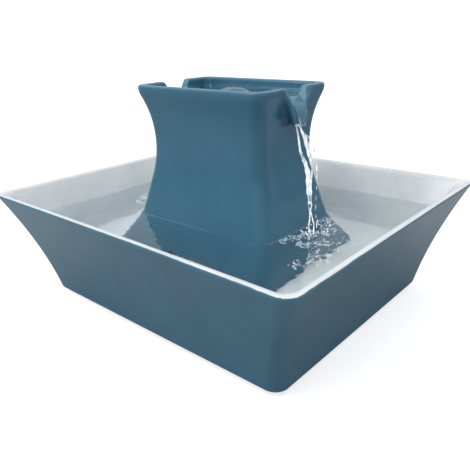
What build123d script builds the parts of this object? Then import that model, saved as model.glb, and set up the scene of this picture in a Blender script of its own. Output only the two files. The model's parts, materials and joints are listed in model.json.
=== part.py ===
from build123d import *
from math import cos, radians, sin, sqrt
import os

# A ceramic pet water fountain. A flared four-sided bowl holds the water. A hollow tower with a shallow dish on
# top stands in it, and hides a filter housing with a submersible pump. The pump lifts water through a riser
# into the dish, and it runs back to the bowl over a spout at each end of the tower.
#
# Millimetres, +Z up. The origin is the middle of the plane that the feet stand on. X runs along the longer side
# of the bowl and through both spouts, and +Y is the back.

# ---- Clearances ----------------------------------------------------------------------------------
REST_GAP = 0.3  # under a piece that lifts off
SLIDE_GAP = 0.3  # beside a piece that slides out
RUN_GAP = 0.05  # radial, between a turning piece and its shaft or hole
FIT_GAP = 0.1  # around a piece that is pushed into its seat

# ---- Bowl ----------------------------------------------------------------------------------------
BOWL_LENGTH = 281.8  # over the rim, along X, before its edge is rounded
BOWL_WIDTH = 242.4  # the same, along Y
BOWL_RIM_HEIGHT = 85.6  # above the surface that it stands on
BOWL_FLARE = 27.6  # how far each wall leans out from its foot to the rim
BOWL_BOW = 1.7  # how far the wall's side line bows inward from a straight lean
BOWL_WALL = 5.5
BOWL_FLOOR = 5.0
BOWL_CORNER = 9.5  # outside radius of the upright corners
BOWL_HEEL = 3.0  # rounding under the wall
BOWL_COVE = 4.0  # rounding inside, where the floor meets the walls
RIM_ROUND = 2.3
FOOT_INSET = 4.0
FOOT_WIDTH = 6.0
FOOT_DROP = 3.0
CORD_NOTCH = 9.0  # width of the gap in the foot ring, at the back
PAD_RADIUS = 7.0
PAD_LIFT = 1.0  # how far the pads hold the foot ring off the surface
PAD_INSET = 12.0  # from the foot ring's inner corner to the middle of a pad, along X and Y

# ---- Tower ---------------------------------------------------------------------------------------
WAIST_LENGTH = 104.4
WAIST_WIDTH = 63.8
TOWER_HEIGHT = 151.0
WAIST_HEIGHT = 111.0  # above the tower's own foot
FLARE_RADIUS = 110.0
FLARE_DROP = 26.0  # how far below the waist the flare turns into a straight skirt
TOWER_WALL = 5.5
TOWER_CORNER = 8.5
TOWER_COVE = 4.4  # rounding inside, where the dish floor meets the walls
DISH_DEPTH = 28.3
DISH_FLOOR = 6.0
ARCH_HEIGHT = 8.0  # inlets under the skirt
LONG_ARCH = 36.0
END_ARCH = 26.0

# ---- Spouts --------------------------------------------------------------------------------------
SPOUT_REACH = 11.8  # from the waist's end face to the tip
SPOUT_DROP = 22.3  # from the rim to the tip
SPOUT_LEAN = 1.5  # how far the cheeks' free edge leans out on its way down
SPOUT_WIDTH = 24.8  # over the cheeks at the rim
SPOUT_TIP_WIDTH = 12.4
SPOUT_CHEEK = 2.2  # thickness of each cheek
SPOUT_EAR = 5.6  # radius of each cheek's top corner
SPOUT_BELLY = 2.0  # how far the underside falls towards the wall
SPOUT_LIP = 2.0  # thickness under the tip
SPILL_DEPTH = 6.0  # from the rim to the crest that the water runs over
SPILL_BOW = 3.4  # how far the spillway bulges

# ---- Filter housing ------------------------------------------------------------------------------
HOUSING_WIDTH = 61.0
HOUSING_DEPTH = 46.0  # inside
HOUSING_WALL = 2.0
HOUSING_CORNER = 3.0
LEAST_CORNER = 0.5  # of anything nested inside that corner
HOUSING_LIFT = 5.0  # of its underside above the bowl's floor, on its feet
PUMP_PLAY = 1.0  # behind the pump
SLOT_WIDTH = 3.0
SLOT_PITCH = 6.0
SLOT_COUNT = 8
SLOT_MARGIN = 5.0  # of housing left under and over the slots
GUIDE_RIB = 1.0
GUIDE_DEPTH = 3.0
CRADLE_HEIGHT = 8.0
CRADLE_RAIL = 2.0
COVER_THICKNESS = 2.0
COVER_LIP = 3.0
COVER_LIP_WALL = 1.5
COVER_OVERLAP = 0.5  # of the cover past the front of the pump

# ---- Housing feet --------------------------------------------------------------------------------
FOOT_RADIUS = 5.0
FOOT_MARGIN = 4.5  # of housing behind the rear feet, and from the front feet's middle to the grille's face

# ---- Filters -------------------------------------------------------------------------------------
FOAM_THICKNESS = 12.0
CARTRIDGE_THICKNESS = 8.0
CARTRIDGE_BORDER = 4.0
CLOTH_THICKNESS = 0.8
CLOTH_RECESS = 0.6
PULL_TAB_WIDTH = 16.0
PULL_TAB_HEIGHT = 5.0
PULL_TAB_THICKNESS = 2.0
PULL_TAB_HOLE = 3.0  # width of the finger slot

# ---- Pump ----------------------------------------------------------------------------------------
MOTOR_LENGTH = 34.0
PUMP_WIDTH = 40.0
PUMP_HEIGHT = 42.0
PUMP_EDGE = 4.0
PUMP_WALL = 2.0
AXIS_HEIGHT = 24.0  # of the impeller's axis above the pump's base
WELL_RADIUS = 9.6  # the dry side's cup that the rotor turns in
WELL_WALL = 1.2
WELL_DEPTH = 29.5
CHAMBER_RADIUS = 13.2
CHAMBER_DEPTH = 11.0
VOLUTE_WALL = 2.0
VOLUTE_SHELL = 2.8
INTAKE_INNER = 3.0  # also the radius of the knob's stem
INTAKE_OUTER = 7.5
OUTLET_RADIUS = 5.9
OUTLET_BORE = 4.5
OUTLET_RISE = 14.0  # of the outlet above the cover
GRILLE_REACH = 9.0  # from the volute to the grille's face
GRILLE_WALL = 1.5
GRILLE_SLOT = 2.0
GRILLE_PITCH = 4.6
GRILLE_MARGIN = 7.0
GRILLE_BOSS = 7.0  # half the plain square around the knob

# ---- Flow knob -----------------------------------------------------------------------------------
KNOB_RADIUS = 6.0
KNOB_THICKNESS = 2.0
KNOB_GRIP = 1.5
KNOB_GRIP_WIDTH = 2.4
KNOB_GRIP_INSET = 1.0  # of the grip's ends inside the knob's edge
SHUTTER_THICKNESS = 1.5

# ---- Rotor ---------------------------------------------------------------------------------------
SHAFT_RADIUS = 1.0
SHAFT_ROOT = 1.5  # of the shaft, held in the bottom of the well
MAGNET_RADIUS = 8.8
MAGNET_LENGTH = 25.0
IMPELLER_RADIUS = 12.0
IMPELLER_GAP = 0.5  # between its back plate and the motor
IMPELLER_PLATE = 1.2
VANE_COUNT = 6
VANE_DEPTH = 7.0
VANE_THICKNESS = 1.2
HUB_RADIUS = 3.3
MAGNET_GAP = 1.5  # between the magnet and the mouth of its well

# ---- Stator --------------------------------------------------------------------------------------
CORE_THICKNESS = 16.0
CORE_YOKE = 6.0
CORE_MARGIN = 2.5  # between the core and the inside of the motor's case
POLE_GAP = 0.2
POLE_WIDTH = 17.0  # across the gap between the pole tips
BOBBIN_WALL = 0.8
BOBBIN_FLANGE = 1.0
BOBBIN_RIM = 2.2
WINDING_DEPTH = 1.2

# ---- Riser ---------------------------------------------------------------------------------------
TUBE_WALL = 2.0
SEAL_BODY = 4.0
SEAL_RISE = 2.0  # of the seal over the dish's floor
SEAL_PROUD = 0.5  # of the seal over the tube's end

# ---- Cord passages -------------------------------------------------------------------------------
CORD_BORE = 2.0
GLAND_HEIGHT = 32.0  # above the pump's base
GLAND_NECK = 3.0
GLAND_SLEEVE = 3.6
GLAND_LENGTH = 10.0
GLAND_ROOT = 3.0  # of its neck, held in the resin
PLUG_BODY = 6.0
PLUG_HEAD = 8.5
PLUG_HEAD_HEIGHT = 2.5
PLUG_TAIL_HEIGHT = 1.5  # of its body, under the floor
PLUG_CLEARANCE = 2.0  # between its head and the filter housing

# ---- Heights and stations that follow ------------------------------------------------------------
REACH = 400.0  # past everything, for cutting shapes

# The ceramic walls are laid up in straight strips, this many in each curved stretch.
ROUND_STRIPS = 3
BOWL_STRIPS = 3
TOWER_STRIPS = 7
DISH_STRIPS = 2
CHAMBER_STRIPS = 4

body_z = PAD_LIFT + FOOT_DROP  # underside of the bowl's floor
floor_z = body_z + BOWL_FLOOR
tower_z = floor_z + REST_GAP
waist_z = tower_z + WAIST_HEIGHT
knee_z = waist_z - FLARE_DROP
rim_z = tower_z + TOWER_HEIGHT
dish_z = rim_z - DISH_DEPTH
dish_under_z = dish_z - DISH_FLOOR

housing_z = floor_z + HOUSING_LIFT
pump_z = housing_z + HOUSING_WALL
axis_z = pump_z + AXIS_HEIGHT
housing_top_z = pump_z + HOUSING_DEPTH
cover_top_z = housing_top_z + COVER_THICKNESS
seal_top_z = dish_z + SEAL_RISE
gland_z = pump_z + GLAND_HEIGHT

# Along X, the pump's outlet is in the middle of its chamber, under the riser at x = 0.
motor_x = -CHAMBER_DEPTH / 2  # front of the motor's case
motor_back_x = motor_x - MOTOR_LENGTH
volute_x = CHAMBER_DEPTH / 2 + VOLUTE_WALL
grille_x = volute_x + GRILLE_REACH
knob_x = grille_x + SLIDE_GAP + KNOB_THICKNESS + KNOB_GRIP
foam_x = knob_x + SLIDE_GAP
guide_x = foam_x + FOAM_THICKNESS + SLIDE_GAP
cartridge_x = guide_x + GUIDE_RIB + SLIDE_GAP
bay_end_x = cartridge_x + CARTRIDGE_THICKNESS + SLIDE_GAP
bay_start_x = motor_back_x - PUMP_PLAY
housing_length = bay_end_x - bay_start_x + 2 * HOUSING_WALL
housing_middle_x = (bay_end_x + bay_start_x) / 2
housing_end_x = bay_start_x - HOUSING_WALL
plug_x = housing_end_x - PLUG_CLEARANCE - PLUG_HEAD
foot_stations = (housing_end_x + FOOT_MARGIN + FOOT_RADIUS, grille_x - FOOT_MARGIN)
well_x = motor_x - WELL_DEPTH
tube_radius = OUTLET_RADIUS + FIT_GAP + TUBE_WALL
seal_bore = tube_radius + SLIDE_GAP
seal_radius = seal_bore + SEAL_BODY


# ---- Shapes that repeat --------------------------------------------------------------------------
def block(x, y, z):
    """A box between two limits along each axis."""
    size = [high - low for low, high in (x, y, z)]
    middle = [(high + low) / 2 for low, high in (x, y, z)]
    return Pos(*middle) * Box(*size)


def rod_z(radius, z, x=0, y=0):
    """An upright cylinder."""
    return Pos(x, y, z[0]) * Cylinder(radius, z[1] - z[0], align=(Align.CENTER, Align.CENTER, Align.MIN))


def rod_x(radius, x, z=axis_z):
    """A cylinder along X, on the pump's axis unless told otherwise."""
    plane = Plane(origin=(x[0], 0, z), z_dir=(1, 0, 0))
    return plane * Cylinder(radius, x[1] - x[0], align=(Align.CENTER, Align.CENTER, Align.MIN))


def tablet(length, width, corner, z, x=0):
    """An upright slab with rounded corners, centred on y = 0."""
    outline = Pos(x, 0, z[0]) * RectangleRounded(length, width, corner)
    return extrude(outline, amount=z[1] - z[0])


def case_x(x, width, z, edge):
    """A slab along X, rounded along its four long edges."""
    middle = (z[0] + z[1]) / 2
    plane = Plane(origin=(x[0], 0, middle), x_dir=(0, 1, 0), z_dir=(1, 0, 0))
    return extrude(plane * RectangleRounded(width, z[1] - z[0], edge), amount=x[1] - x[0])


def evenly(low, high, steps):
    return [low + (high - low) * step / steps for step in range(steps + 1)]


def wall_sections(spread, heights, foot=0, brim=0):
    """Where a flared wall stands at each height, as (height, how far out, change of the corner's radius).

    foot and brim round the wall over below the first height and above the last one, inward, or outward
    where they are negative.
    """
    sections = [(height, spread(height), 0) for height in heights]
    for step in range(1, ROUND_STRIPS + 1):
        angle = radians(90 * step / ROUND_STRIPS)
        low, high = heights[0] - abs(foot) * sin(angle), heights[-1] + abs(brim) * sin(angle)
        foot_inset, brim_inset = foot * (1 - cos(angle)), brim * (1 - cos(angle))
        if foot:
            sections.insert(0, (low, spread(low) - foot_inset, -foot_inset))
        if brim:
            sections.append((high, spread(high) - brim_inset, -brim_inset))
    return sections


def flared_block(sections, length, width, corner):
    """A four-sided block, its walls laid up in straight strips from one section to the next."""
    rings = []
    for height, out, rounding in sections:
        if corner:
            ring = RectangleRounded(length + 2 * out, width + 2 * out, corner + rounding)
        else:
            ring = Rectangle(length + 2 * out, width + 2 * out)
        rings.append((Pos(0, 0, height) * ring).face())
    faces = [rings[0], rings[-1]]
    for low, high in zip(rings, rings[1:]):
        for below_edge, above_edge in zip(low.outer_wire().edges(), high.outer_wire().edges()):
            if below_edge.geom_type == GeomType.LINE:
                corners = [below_edge @ 0, below_edge @ 1, above_edge @ 1, above_edge @ 0]
                faces.append(Face(Wire.make_polygon(corners)))
            else:
                faces.append(Face.make_surface_from_curves(below_edge, above_edge))
    return Solid(Shell(faces))


# ---- Bowl ----------------------------------------------------------------------------------------
def bowl_spread(z):
    """How far the wall has moved out at this height, from where it stands at the rim."""
    share = (z - body_z) / (BOWL_RIM_HEIGHT - body_z)
    return -BOWL_FLARE * (1 - share) - 4 * BOWL_BOW * share * (1 - share)


def foot_ring():
    """The unglazed ring under the floor, open at the back for the cord."""
    length = BOWL_LENGTH - 2 * (BOWL_FLARE + FOOT_INSET)
    width = BOWL_WIDTH - 2 * (BOWL_FLARE + FOOT_INSET)
    z = (PAD_LIFT, body_z)
    outer = tablet(length, width, BOWL_CORNER, z)
    inner = tablet(length - 2 * FOOT_WIDTH, width - 2 * FOOT_WIDTH, BOWL_CORNER - FOOT_WIDTH / 2, z)
    notch = block((-CORD_NOTCH / 2, CORD_NOTCH / 2), (0, REACH), z)
    return outer - inner - notch


def bowl():
    top_z = BOWL_RIM_HEIGHT - RIM_ROUND
    outside = wall_sections(bowl_spread, evenly(body_z + BOWL_HEEL, top_z, BOWL_STRIPS), BOWL_HEEL, RIM_ROUND)
    inside = wall_sections(bowl_spread, evenly(floor_z + BOWL_COVE, top_z, BOWL_STRIPS), BOWL_COVE, -RIM_ROUND)
    shell = flared_block(outside, BOWL_LENGTH, BOWL_WIDTH, BOWL_CORNER)
    shell -= flared_block(
        inside, BOWL_LENGTH - 2 * BOWL_WALL, BOWL_WIDTH - 2 * BOWL_WALL, BOWL_CORNER - BOWL_WALL / 2
    )
    plug_hole = rod_z(PLUG_BODY, (body_z, floor_z), plug_x)
    return shell + foot_ring() - plug_hole


def base_pads():
    x = BOWL_LENGTH / 2 - BOWL_FLARE - FOOT_INSET - FOOT_WIDTH - PAD_INSET
    y = BOWL_WIDTH / 2 - BOWL_FLARE - FOOT_INSET - FOOT_WIDTH - PAD_INSET
    pad = rod_z(PAD_RADIUS, (0, body_z))
    return [Pos(sx * x, sy * y, 0) * pad for sx in (-1, 1) for sy in (-1, 1)]


def cord_plug():
    """The rubber stopper that leads the cord through the bowl's floor."""
    body = rod_z(PLUG_BODY - FIT_GAP, (body_z - PLUG_TAIL_HEIGHT, floor_z), plug_x)
    head = rod_z(PLUG_HEAD, (floor_z, floor_z + PLUG_HEAD_HEIGHT), plug_x)
    return body + head - rod_z(CORD_BORE, (0, floor_z + PLUG_HEAD_HEIGHT), plug_x)


# ---- Tower ---------------------------------------------------------------------------------------
def flare(z):
    """How far the wall has moved out from the waist at this height, on the curved stretch."""
    return FLARE_RADIUS - sqrt(FLARE_RADIUS**2 - (z - waist_z) ** 2)


def tower_spread(z):
    """A straight skirt, then one arc through the waist up to the rim."""
    if z > knee_z:
        return flare(z)
    lean = FLARE_DROP / sqrt(FLARE_RADIUS**2 - FLARE_DROP**2)
    return flare(knee_z) + lean * (knee_z - z)


def tower_outside():
    heights = [tower_z] + evenly(knee_z, rim_z - RIM_ROUND, TOWER_STRIPS)
    sections = wall_sections(tower_spread, heights, brim=RIM_ROUND)
    return flared_block(sections, WAIST_LENGTH, WAIST_WIDTH, TOWER_CORNER)


def tower_dish():
    """The hollow of the dish."""
    sections = wall_sections(
        tower_spread, evenly(dish_z + TOWER_COVE, rim_z - RIM_ROUND, DISH_STRIPS), TOWER_COVE, -RIM_ROUND
    )
    corner = TOWER_CORNER - TOWER_WALL / 2
    return flared_block(sections, WAIST_LENGTH - 2 * TOWER_WALL, WAIST_WIDTH - 2 * TOWER_WALL, corner)


def tower_chamber():
    """The hollow under the dish, open at the foot, with square corners."""
    heights = [tower_z] + evenly(knee_z, dish_under_z, CHAMBER_STRIPS)
    sections = wall_sections(tower_spread, heights)
    return flared_block(sections, WAIST_LENGTH - 2 * TOWER_WALL, WAIST_WIDTH - 2 * TOWER_WALL, 0)


def spout_front(inset, foot_z):
    """What the spout may fill seen from its end, this far inside the cheeks: it tapers from the ears down."""
    tip_z = rim_z - SPOUT_DROP
    half, tip_half = SPOUT_WIDTH / 2 - inset, SPOUT_TIP_WIDTH / 2 - inset
    ear_z = rim_z - SPOUT_EAR
    right = [(tip_half, foot_z), (tip_half, tip_z), (half, ear_z), (half, rim_z + inset)]
    left = [(-y, z) for y, z in reversed(right)]
    return extrude(Plane.YZ * make_face(Polyline(*right, *left, close=True)), amount=REACH, both=True)


def spout_body(dish):
    """The two cheeks and what is under them, still solid between them, outside the dish at +X."""
    half = WAIST_LENGTH / 2
    tip_x = half + SPOUT_REACH
    tip_z = rim_z - SPOUT_DROP
    ear = (tip_x - SPOUT_LEAN, rim_z - SPOUT_EAR)
    crown = (ear[0] - SPOUT_EAR, rim_z)
    lip = (tip_x - SPOUT_LIP / 2, tip_z - SPOUT_LIP)
    root_x = half - TOWER_WALL
    belly_z = tip_z - SPOUT_LIP - SPOUT_BELLY
    side = RadiusArc(crown, ear, SPOUT_EAR) + Line(ear, (tip_x, tip_z))
    side += SagittaArc((tip_x, tip_z), lip, SPOUT_LIP / 4)
    side += Polyline(lip, (half, belly_z), (root_x, belly_z), (root_x, rim_z), crown)
    across = extrude(Plane.XZ * make_face(side), amount=SPOUT_WIDTH, both=True)
    return (across & spout_front(0, belly_z)) - dish


def spout_channel():
    """What is cut away between the cheeks, above a convex spillway, at +X."""
    tip_x = WAIST_LENGTH / 2 + SPOUT_REACH
    tip_z = rim_z - SPOUT_DROP
    crest_x = WAIST_LENGTH / 2 - TOWER_WALL + flare(rim_z - SPILL_DEPTH)
    crest_z = rim_z - SPILL_DEPTH
    dish_x = crest_x - 2 * TOWER_WALL
    side = SagittaArc((crest_x, crest_z), (tip_x, tip_z), SPILL_BOW)
    side += Polyline((tip_x, tip_z), (REACH, tip_z), (REACH, REACH), (dish_x, REACH))
    side += Polyline((dish_x, REACH), (dish_x, crest_z), (crest_x, crest_z))
    cut = extrude(Plane.XZ * make_face(side), amount=SPOUT_WIDTH, both=True)
    return cut & spout_front(SPOUT_CHEEK, tip_z - SPOUT_LIP)


def inlet_arches():
    """Low openings under all four sides of the skirt, rounded at the top."""
    z = (tower_z - ARCH_HEIGHT, tower_z + ARCH_HEIGHT)
    ends = block((-REACH, REACH), (-END_ARCH / 2, END_ARCH / 2), z)
    fronts = block((-LONG_ARCH / 2, LONG_ARCH / 2), (-REACH, REACH), z)
    arches = []
    for arch, axis in ((ends, Axis.X), (fronts, Axis.Y)):
        top_edges = arch.edges().filter_by(axis).group_by(Axis.Z)[-1]
        arches.append(fillet(top_edges, ARCH_HEIGHT / 2))
    return arches[0] + arches[1]


def tower():
    dish = tower_dish()
    body, channel = spout_body(dish), spout_channel()
    shell = tower_outside() - dish
    shell = shell + body + mirror(body, about=Plane.YZ)
    shell = shell - channel - mirror(channel, about=Plane.YZ)
    riser_hole = rod_z(seal_radius + FIT_GAP, (dish_under_z, dish_z))
    return shell - tower_chamber() - riser_hole - inlet_arches()


def riser_seal():
    """The silicone sleeve in the dish's floor that the riser slides through."""
    z = (dish_under_z, seal_top_z)
    return rod_z(seal_radius, z) - rod_z(seal_bore, z)


# ---- Filter housing ------------------------------------------------------------------------------
def housing_slab(inset, z):
    """The housing's plan, this far inside its outer face."""
    length, width = housing_length - 2 * inset, HOUSING_WIDTH - 2 * inset
    return tablet(length, width, max(HOUSING_CORNER - inset, LEAST_CORNER), z, housing_middle_x)


def filter_housing():
    inner_half = HOUSING_WIDTH / 2 - HOUSING_WALL
    housing = housing_slab(0, (housing_z, housing_top_z)) - housing_slab(HOUSING_WALL, (pump_z, housing_top_z))

    slot_z = (pump_z + SLOT_MARGIN, housing_top_z - SLOT_MARGIN)
    slot_x = (bay_end_x, bay_end_x + HOUSING_WALL)
    for number in range(SLOT_COUNT):
        y = (number - (SLOT_COUNT - 1) / 2) * SLOT_PITCH
        housing -= block(slot_x, (y - SLOT_WIDTH / 2, y + SLOT_WIDTH / 2), slot_z)

    for side in (-1, 1):
        rib_y = sorted((side * inner_half, side * (inner_half - GUIDE_DEPTH)))
        housing += block((guide_x, guide_x + GUIDE_RIB), rib_y, (pump_z, housing_top_z - COVER_LIP))
        rail_y = side * (PUMP_WIDTH / 2 + FIT_GAP)
        rail = sorted((rail_y, rail_y + side * CRADLE_RAIL))
        housing += block(foot_stations, rail, (pump_z, pump_z + CRADLE_HEIGHT))

    gland_room = GLAND_SLEEVE + SLIDE_GAP
    end_wall = (housing_end_x, bay_start_x)
    housing -= rod_x(gland_room, end_wall, gland_z)
    housing -= block(end_wall, (-gland_room, gland_room), (gland_z, housing_top_z))
    return housing


def housing_cover():
    """The lid over the pump, which leaves the filter bay open."""
    pump_side = block((-REACH, grille_x + COVER_OVERLAP), (-REACH, REACH), (0, REACH))
    plate = housing_slab(0, (housing_top_z, cover_top_z))
    lip = housing_slab(HOUSING_WALL + FIT_GAP, (housing_top_z - COVER_LIP, housing_top_z))
    lip -= housing_slab(HOUSING_WALL + FIT_GAP + COVER_LIP_WALL, (housing_top_z - COVER_LIP, housing_top_z))
    outlet = rod_z(OUTLET_RADIUS + SLIDE_GAP, (housing_top_z, cover_top_z))
    return (plate + lip) & pump_side - outlet


def housing_feet():
    """Soft feet that hold the housing off the bowl's floor, so that water reaches it from below."""
    y = HOUSING_WIDTH / 2 - FOOT_RADIUS
    foot = rod_z(FOOT_RADIUS, (floor_z + REST_GAP, housing_z))
    return [Pos(x, side * y, 0) * foot for x in foot_stations for side in (-1, 1)]


# ---- Filters -------------------------------------------------------------------------------------
def foam_filter():
    """The open-cell foam block between the pump's grille and the cartridge."""
    half = HOUSING_WIDTH / 2 - HOUSING_WALL - SLIDE_GAP
    z = (pump_z + REST_GAP, housing_top_z - COVER_LIP)
    return block((foam_x, foam_x + FOAM_THICKNESS), (-half, half), z)


def cartridge_windows():
    """The cartridge's two openings, as limits along Y and Z."""
    half = HOUSING_WIDTH / 2 - HOUSING_WALL - SLIDE_GAP - CARTRIDGE_BORDER
    z = (pump_z + REST_GAP + CARTRIDGE_BORDER, housing_top_z - CARTRIDGE_BORDER)
    return [((-half, -CARTRIDGE_BORDER / 2), z), ((CARTRIDGE_BORDER / 2, half), z)]


def cartridge_frame():
    half = HOUSING_WIDTH / 2 - HOUSING_WALL - SLIDE_GAP
    x = (cartridge_x, cartridge_x + CARTRIDGE_THICKNESS)
    corner = HOUSING_CORNER - HOUSING_WALL
    frame = tablet(CARTRIDGE_THICKNESS, 2 * half, corner, (pump_z + REST_GAP, housing_top_z), sum(x) / 2)
    for y, z in cartridge_windows():
        frame -= block(x, y, z)
    middle = cartridge_x + CARTRIDGE_THICKNESS / 2
    tab_x = (middle - PULL_TAB_THICKNESS / 2, middle + PULL_TAB_THICKNESS / 2)
    tab_top = housing_top_z + PULL_TAB_HEIGHT
    tab = block(tab_x, (-PULL_TAB_WIDTH / 2, PULL_TAB_WIDTH / 2), (housing_top_z - PULL_TAB_HOLE, tab_top))
    tab = fillet(tab.edges().filter_by(Axis.X).group_by(Axis.Z)[-1], PULL_TAB_HEIGHT / 2)
    hole_z = (housing_top_z, housing_top_z + PULL_TAB_HEIGHT / 2)
    hole = block(tab_x, (-PULL_TAB_WIDTH / 4, PULL_TAB_WIDTH / 4), hole_z)
    return frame + (tab - hole)


def filter_cloth():
    """A sheet over each side of each window, a little below the frame's faces."""
    back = cartridge_x + CLOTH_RECESS
    front = cartridge_x + CARTRIDGE_THICKNESS - CLOTH_RECESS - CLOTH_THICKNESS
    return [block((x, x + CLOTH_THICKNESS), y, z) for x in (back, front) for y, z in cartridge_windows()]


def charcoal():
    """The bed of granules between the sheets."""
    cover = CLOTH_RECESS + CLOTH_THICKNESS
    x = (cartridge_x + cover, cartridge_x + CARTRIDGE_THICKNESS - cover)
    return [block(x, y, z) for y, z in cartridge_windows()]


# ---- Pump: the dry side --------------------------------------------------------------------------
def gland_root():
    return rod_x(GLAND_NECK, (motor_back_x, motor_back_x + GLAND_ROOT), gland_z)


def pump_case():
    """The motor's case, filled with resin around the stator, with the well that the rotor turns in."""
    case = case_x((motor_back_x, motor_x), PUMP_WIDTH, (pump_z, pump_z + PUMP_HEIGHT), PUMP_EDGE)
    case -= rod_x(WELL_RADIUS, (well_x, motor_x)) + impeller_shaft()
    return case - stator_core() - around_yoke(BOBBIN_RIM, bobbin_span()) - gland_root()


def cable_gland():
    """The rubber sleeve that leads the cord out of the pump."""
    tip_x = motor_back_x - GLAND_LENGTH
    sleeve = rod_x(GLAND_SLEEVE, (tip_x, motor_back_x), gland_z)
    return gland_root() + sleeve - rod_x(CORD_BORE, (tip_x, motor_back_x + GLAND_ROOT), gland_z)


def core_x():
    middle = sum(magnet_x()) / 2
    return (middle - CORE_THICKNESS / 2, middle + CORE_THICKNESS / 2)


def yoke_z():
    low = pump_z + PUMP_WALL + CORE_MARGIN
    return (low, low + CORE_YOKE)


def stator_core():
    """A U of steel sheets, its two arms hollowed to fit around the rotor's well."""
    half = PUMP_WIDTH / 2 - PUMP_WALL - CORE_MARGIN / 3
    pole = WELL_RADIUS + WELL_WALL + POLE_GAP
    under_well = axis_z - pole
    core = block(core_x(), (-half, half), (yoke_z()[0], axis_z + pole))
    core -= block(core_x(), (-pole - POLE_GAP, pole + POLE_GAP), (yoke_z()[1], under_well))
    core -= block(core_x(), (-POLE_WIDTH / 2, POLE_WIDTH / 2), (under_well, axis_z + pole))
    return core - rod_x(pole, core_x())


def around_yoke(margin, y):
    """A block around the yoke, this far outside it."""
    x, z = core_x(), yoke_z()
    return block((x[0] - margin, x[1] + margin), y, (z[0] - margin, z[1] + margin))


def bobbin_span():
    half = WELL_RADIUS + WELL_WALL + POLE_GAP
    return (-half, half)


def coil_bobbin():
    low, high = bobbin_span()
    bobbin = around_yoke(BOBBIN_WALL, (low, high))
    for y in ((low, low + BOBBIN_FLANGE), (high - BOBBIN_FLANGE, high)):
        bobbin += around_yoke(BOBBIN_RIM, y)
    return bobbin - around_yoke(0, (low, high))


def coil_winding():
    low, high = bobbin_span()
    y = (low + BOBBIN_FLANGE, high - BOBBIN_FLANGE)
    return around_yoke(BOBBIN_WALL + WINDING_DEPTH, y) - around_yoke(BOBBIN_WALL, y)


# ---- Pump: the wet side --------------------------------------------------------------------------
def intake_sector(angle, outer):
    """A quarter of the ring around the front bush, centred on an angle from +Y."""
    plane = Plane(origin=(CHAMBER_DEPTH / 2, 0, axis_z), x_dir=(0, 1, 0), z_dir=(1, 0, 0))
    reach = outer * 2
    wedge = make_face(Polyline((0, 0), (reach, -reach), (reach, reach), close=True))
    ring = Circle(outer) - Circle(INTAKE_INNER)
    return plane * Rot(0, 0, angle) * (ring & wedge)


def volute():
    """The impeller's chamber, with two intakes in front and the outlet that the riser is pushed onto."""
    radius = CHAMBER_RADIUS + VOLUTE_SHELL
    width = PUMP_WIDTH - 2 * GRILLE_WALL - 2 * FIT_GAP
    top_z = cover_top_z + OUTLET_RISE
    body = case_x((motor_x, volute_x), width, (axis_z - radius, axis_z + radius), PUMP_EDGE)
    body += rod_z(OUTLET_RADIUS, (axis_z + CHAMBER_RADIUS, top_z))
    body -= rod_x(CHAMBER_RADIUS, (motor_x, CHAMBER_DEPTH / 2))
    body -= rod_z(OUTLET_BORE, (axis_z, top_z))
    body -= block((-REACH, motor_x), (-REACH, REACH), (pump_z, top_z))
    for angle in (0, 180):
        body -= extrude(intake_sector(angle, INTAKE_OUTER), amount=VOLUTE_WALL)
    return body - impeller_shaft()


def intake_grille():
    """The strainer that is pushed over the volute: a slotted box, open at the back, with a knob's boss."""
    z = (pump_z, pump_z + PUMP_HEIGHT)
    inner_z = (pump_z + GRILLE_WALL, pump_z + PUMP_HEIGHT - GRILLE_WALL)
    grille = case_x((motor_x, grille_x), PUMP_WIDTH, z, PUMP_EDGE)
    inner_x = grille_x - GRILLE_WALL
    grille -= case_x((motor_x, inner_x), PUMP_WIDTH - 2 * GRILLE_WALL, inner_z, PUMP_EDGE - GRILLE_WALL)

    slot_z = (pump_z + GRILLE_MARGIN, pump_z + PUMP_HEIGHT - GRILLE_MARGIN)
    count = int((PUMP_WIDTH / 2 - PUMP_EDGE) / GRILLE_PITCH)
    boss = block((inner_x, grille_x), (-GRILLE_BOSS, GRILLE_BOSS), (axis_z - GRILLE_BOSS, axis_z + GRILLE_BOSS))
    for number in range(-count, count + 1):
        y = number * GRILLE_PITCH
        grille -= block((inner_x, grille_x), (y - GRILLE_SLOT / 2, y + GRILLE_SLOT / 2), slot_z) - boss
    for number in range(1, int(GRILLE_REACH / GRILLE_PITCH) + 2):
        x = inner_x - number * GRILLE_PITCH + GRILLE_SLOT
        grille -= block((x - GRILLE_SLOT / 2, x + GRILLE_SLOT / 2), (-REACH, REACH), slot_z)

    room = OUTLET_RADIUS + SLIDE_GAP
    roof_z = (axis_z, pump_z + PUMP_HEIGHT)
    grille -= rod_z(room, roof_z) + block((motor_x, 0), (-room, room), roof_z)
    return grille - rod_x(INTAKE_INNER + RUN_GAP, (inner_x, grille_x))


def flow_knob():
    """A knob on the grille, and the two-winged shutter behind it that closes the intakes in a quarter turn."""
    shutter_x = volute_x + SLIDE_GAP
    face_x = grille_x + SLIDE_GAP
    stem = rod_x(INTAKE_INNER, (shutter_x, face_x))
    disc = rod_x(KNOB_RADIUS, (face_x, face_x + KNOB_THICKNESS))
    grip_x = (face_x + KNOB_THICKNESS, face_x + KNOB_THICKNESS + KNOB_GRIP)
    grip_half, grip_reach = KNOB_GRIP_WIDTH / 2, KNOB_RADIUS - KNOB_GRIP_INSET
    grip = block(grip_x, (-grip_half, grip_half), (axis_z - grip_reach, axis_z + grip_reach))
    knob = stem + disc + grip
    wing_room = Pos(shutter_x - CHAMBER_DEPTH / 2, 0, 0)
    for angle in (90, 270):
        knob += extrude(wing_room * intake_sector(angle, INTAKE_OUTER), amount=SHUTTER_THICKNESS)
    return knob


# ---- Rotor ---------------------------------------------------------------------------------------
def magnet_x():
    front = motor_x - MAGNET_GAP
    return (front - MAGNET_LENGTH, front)


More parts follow.
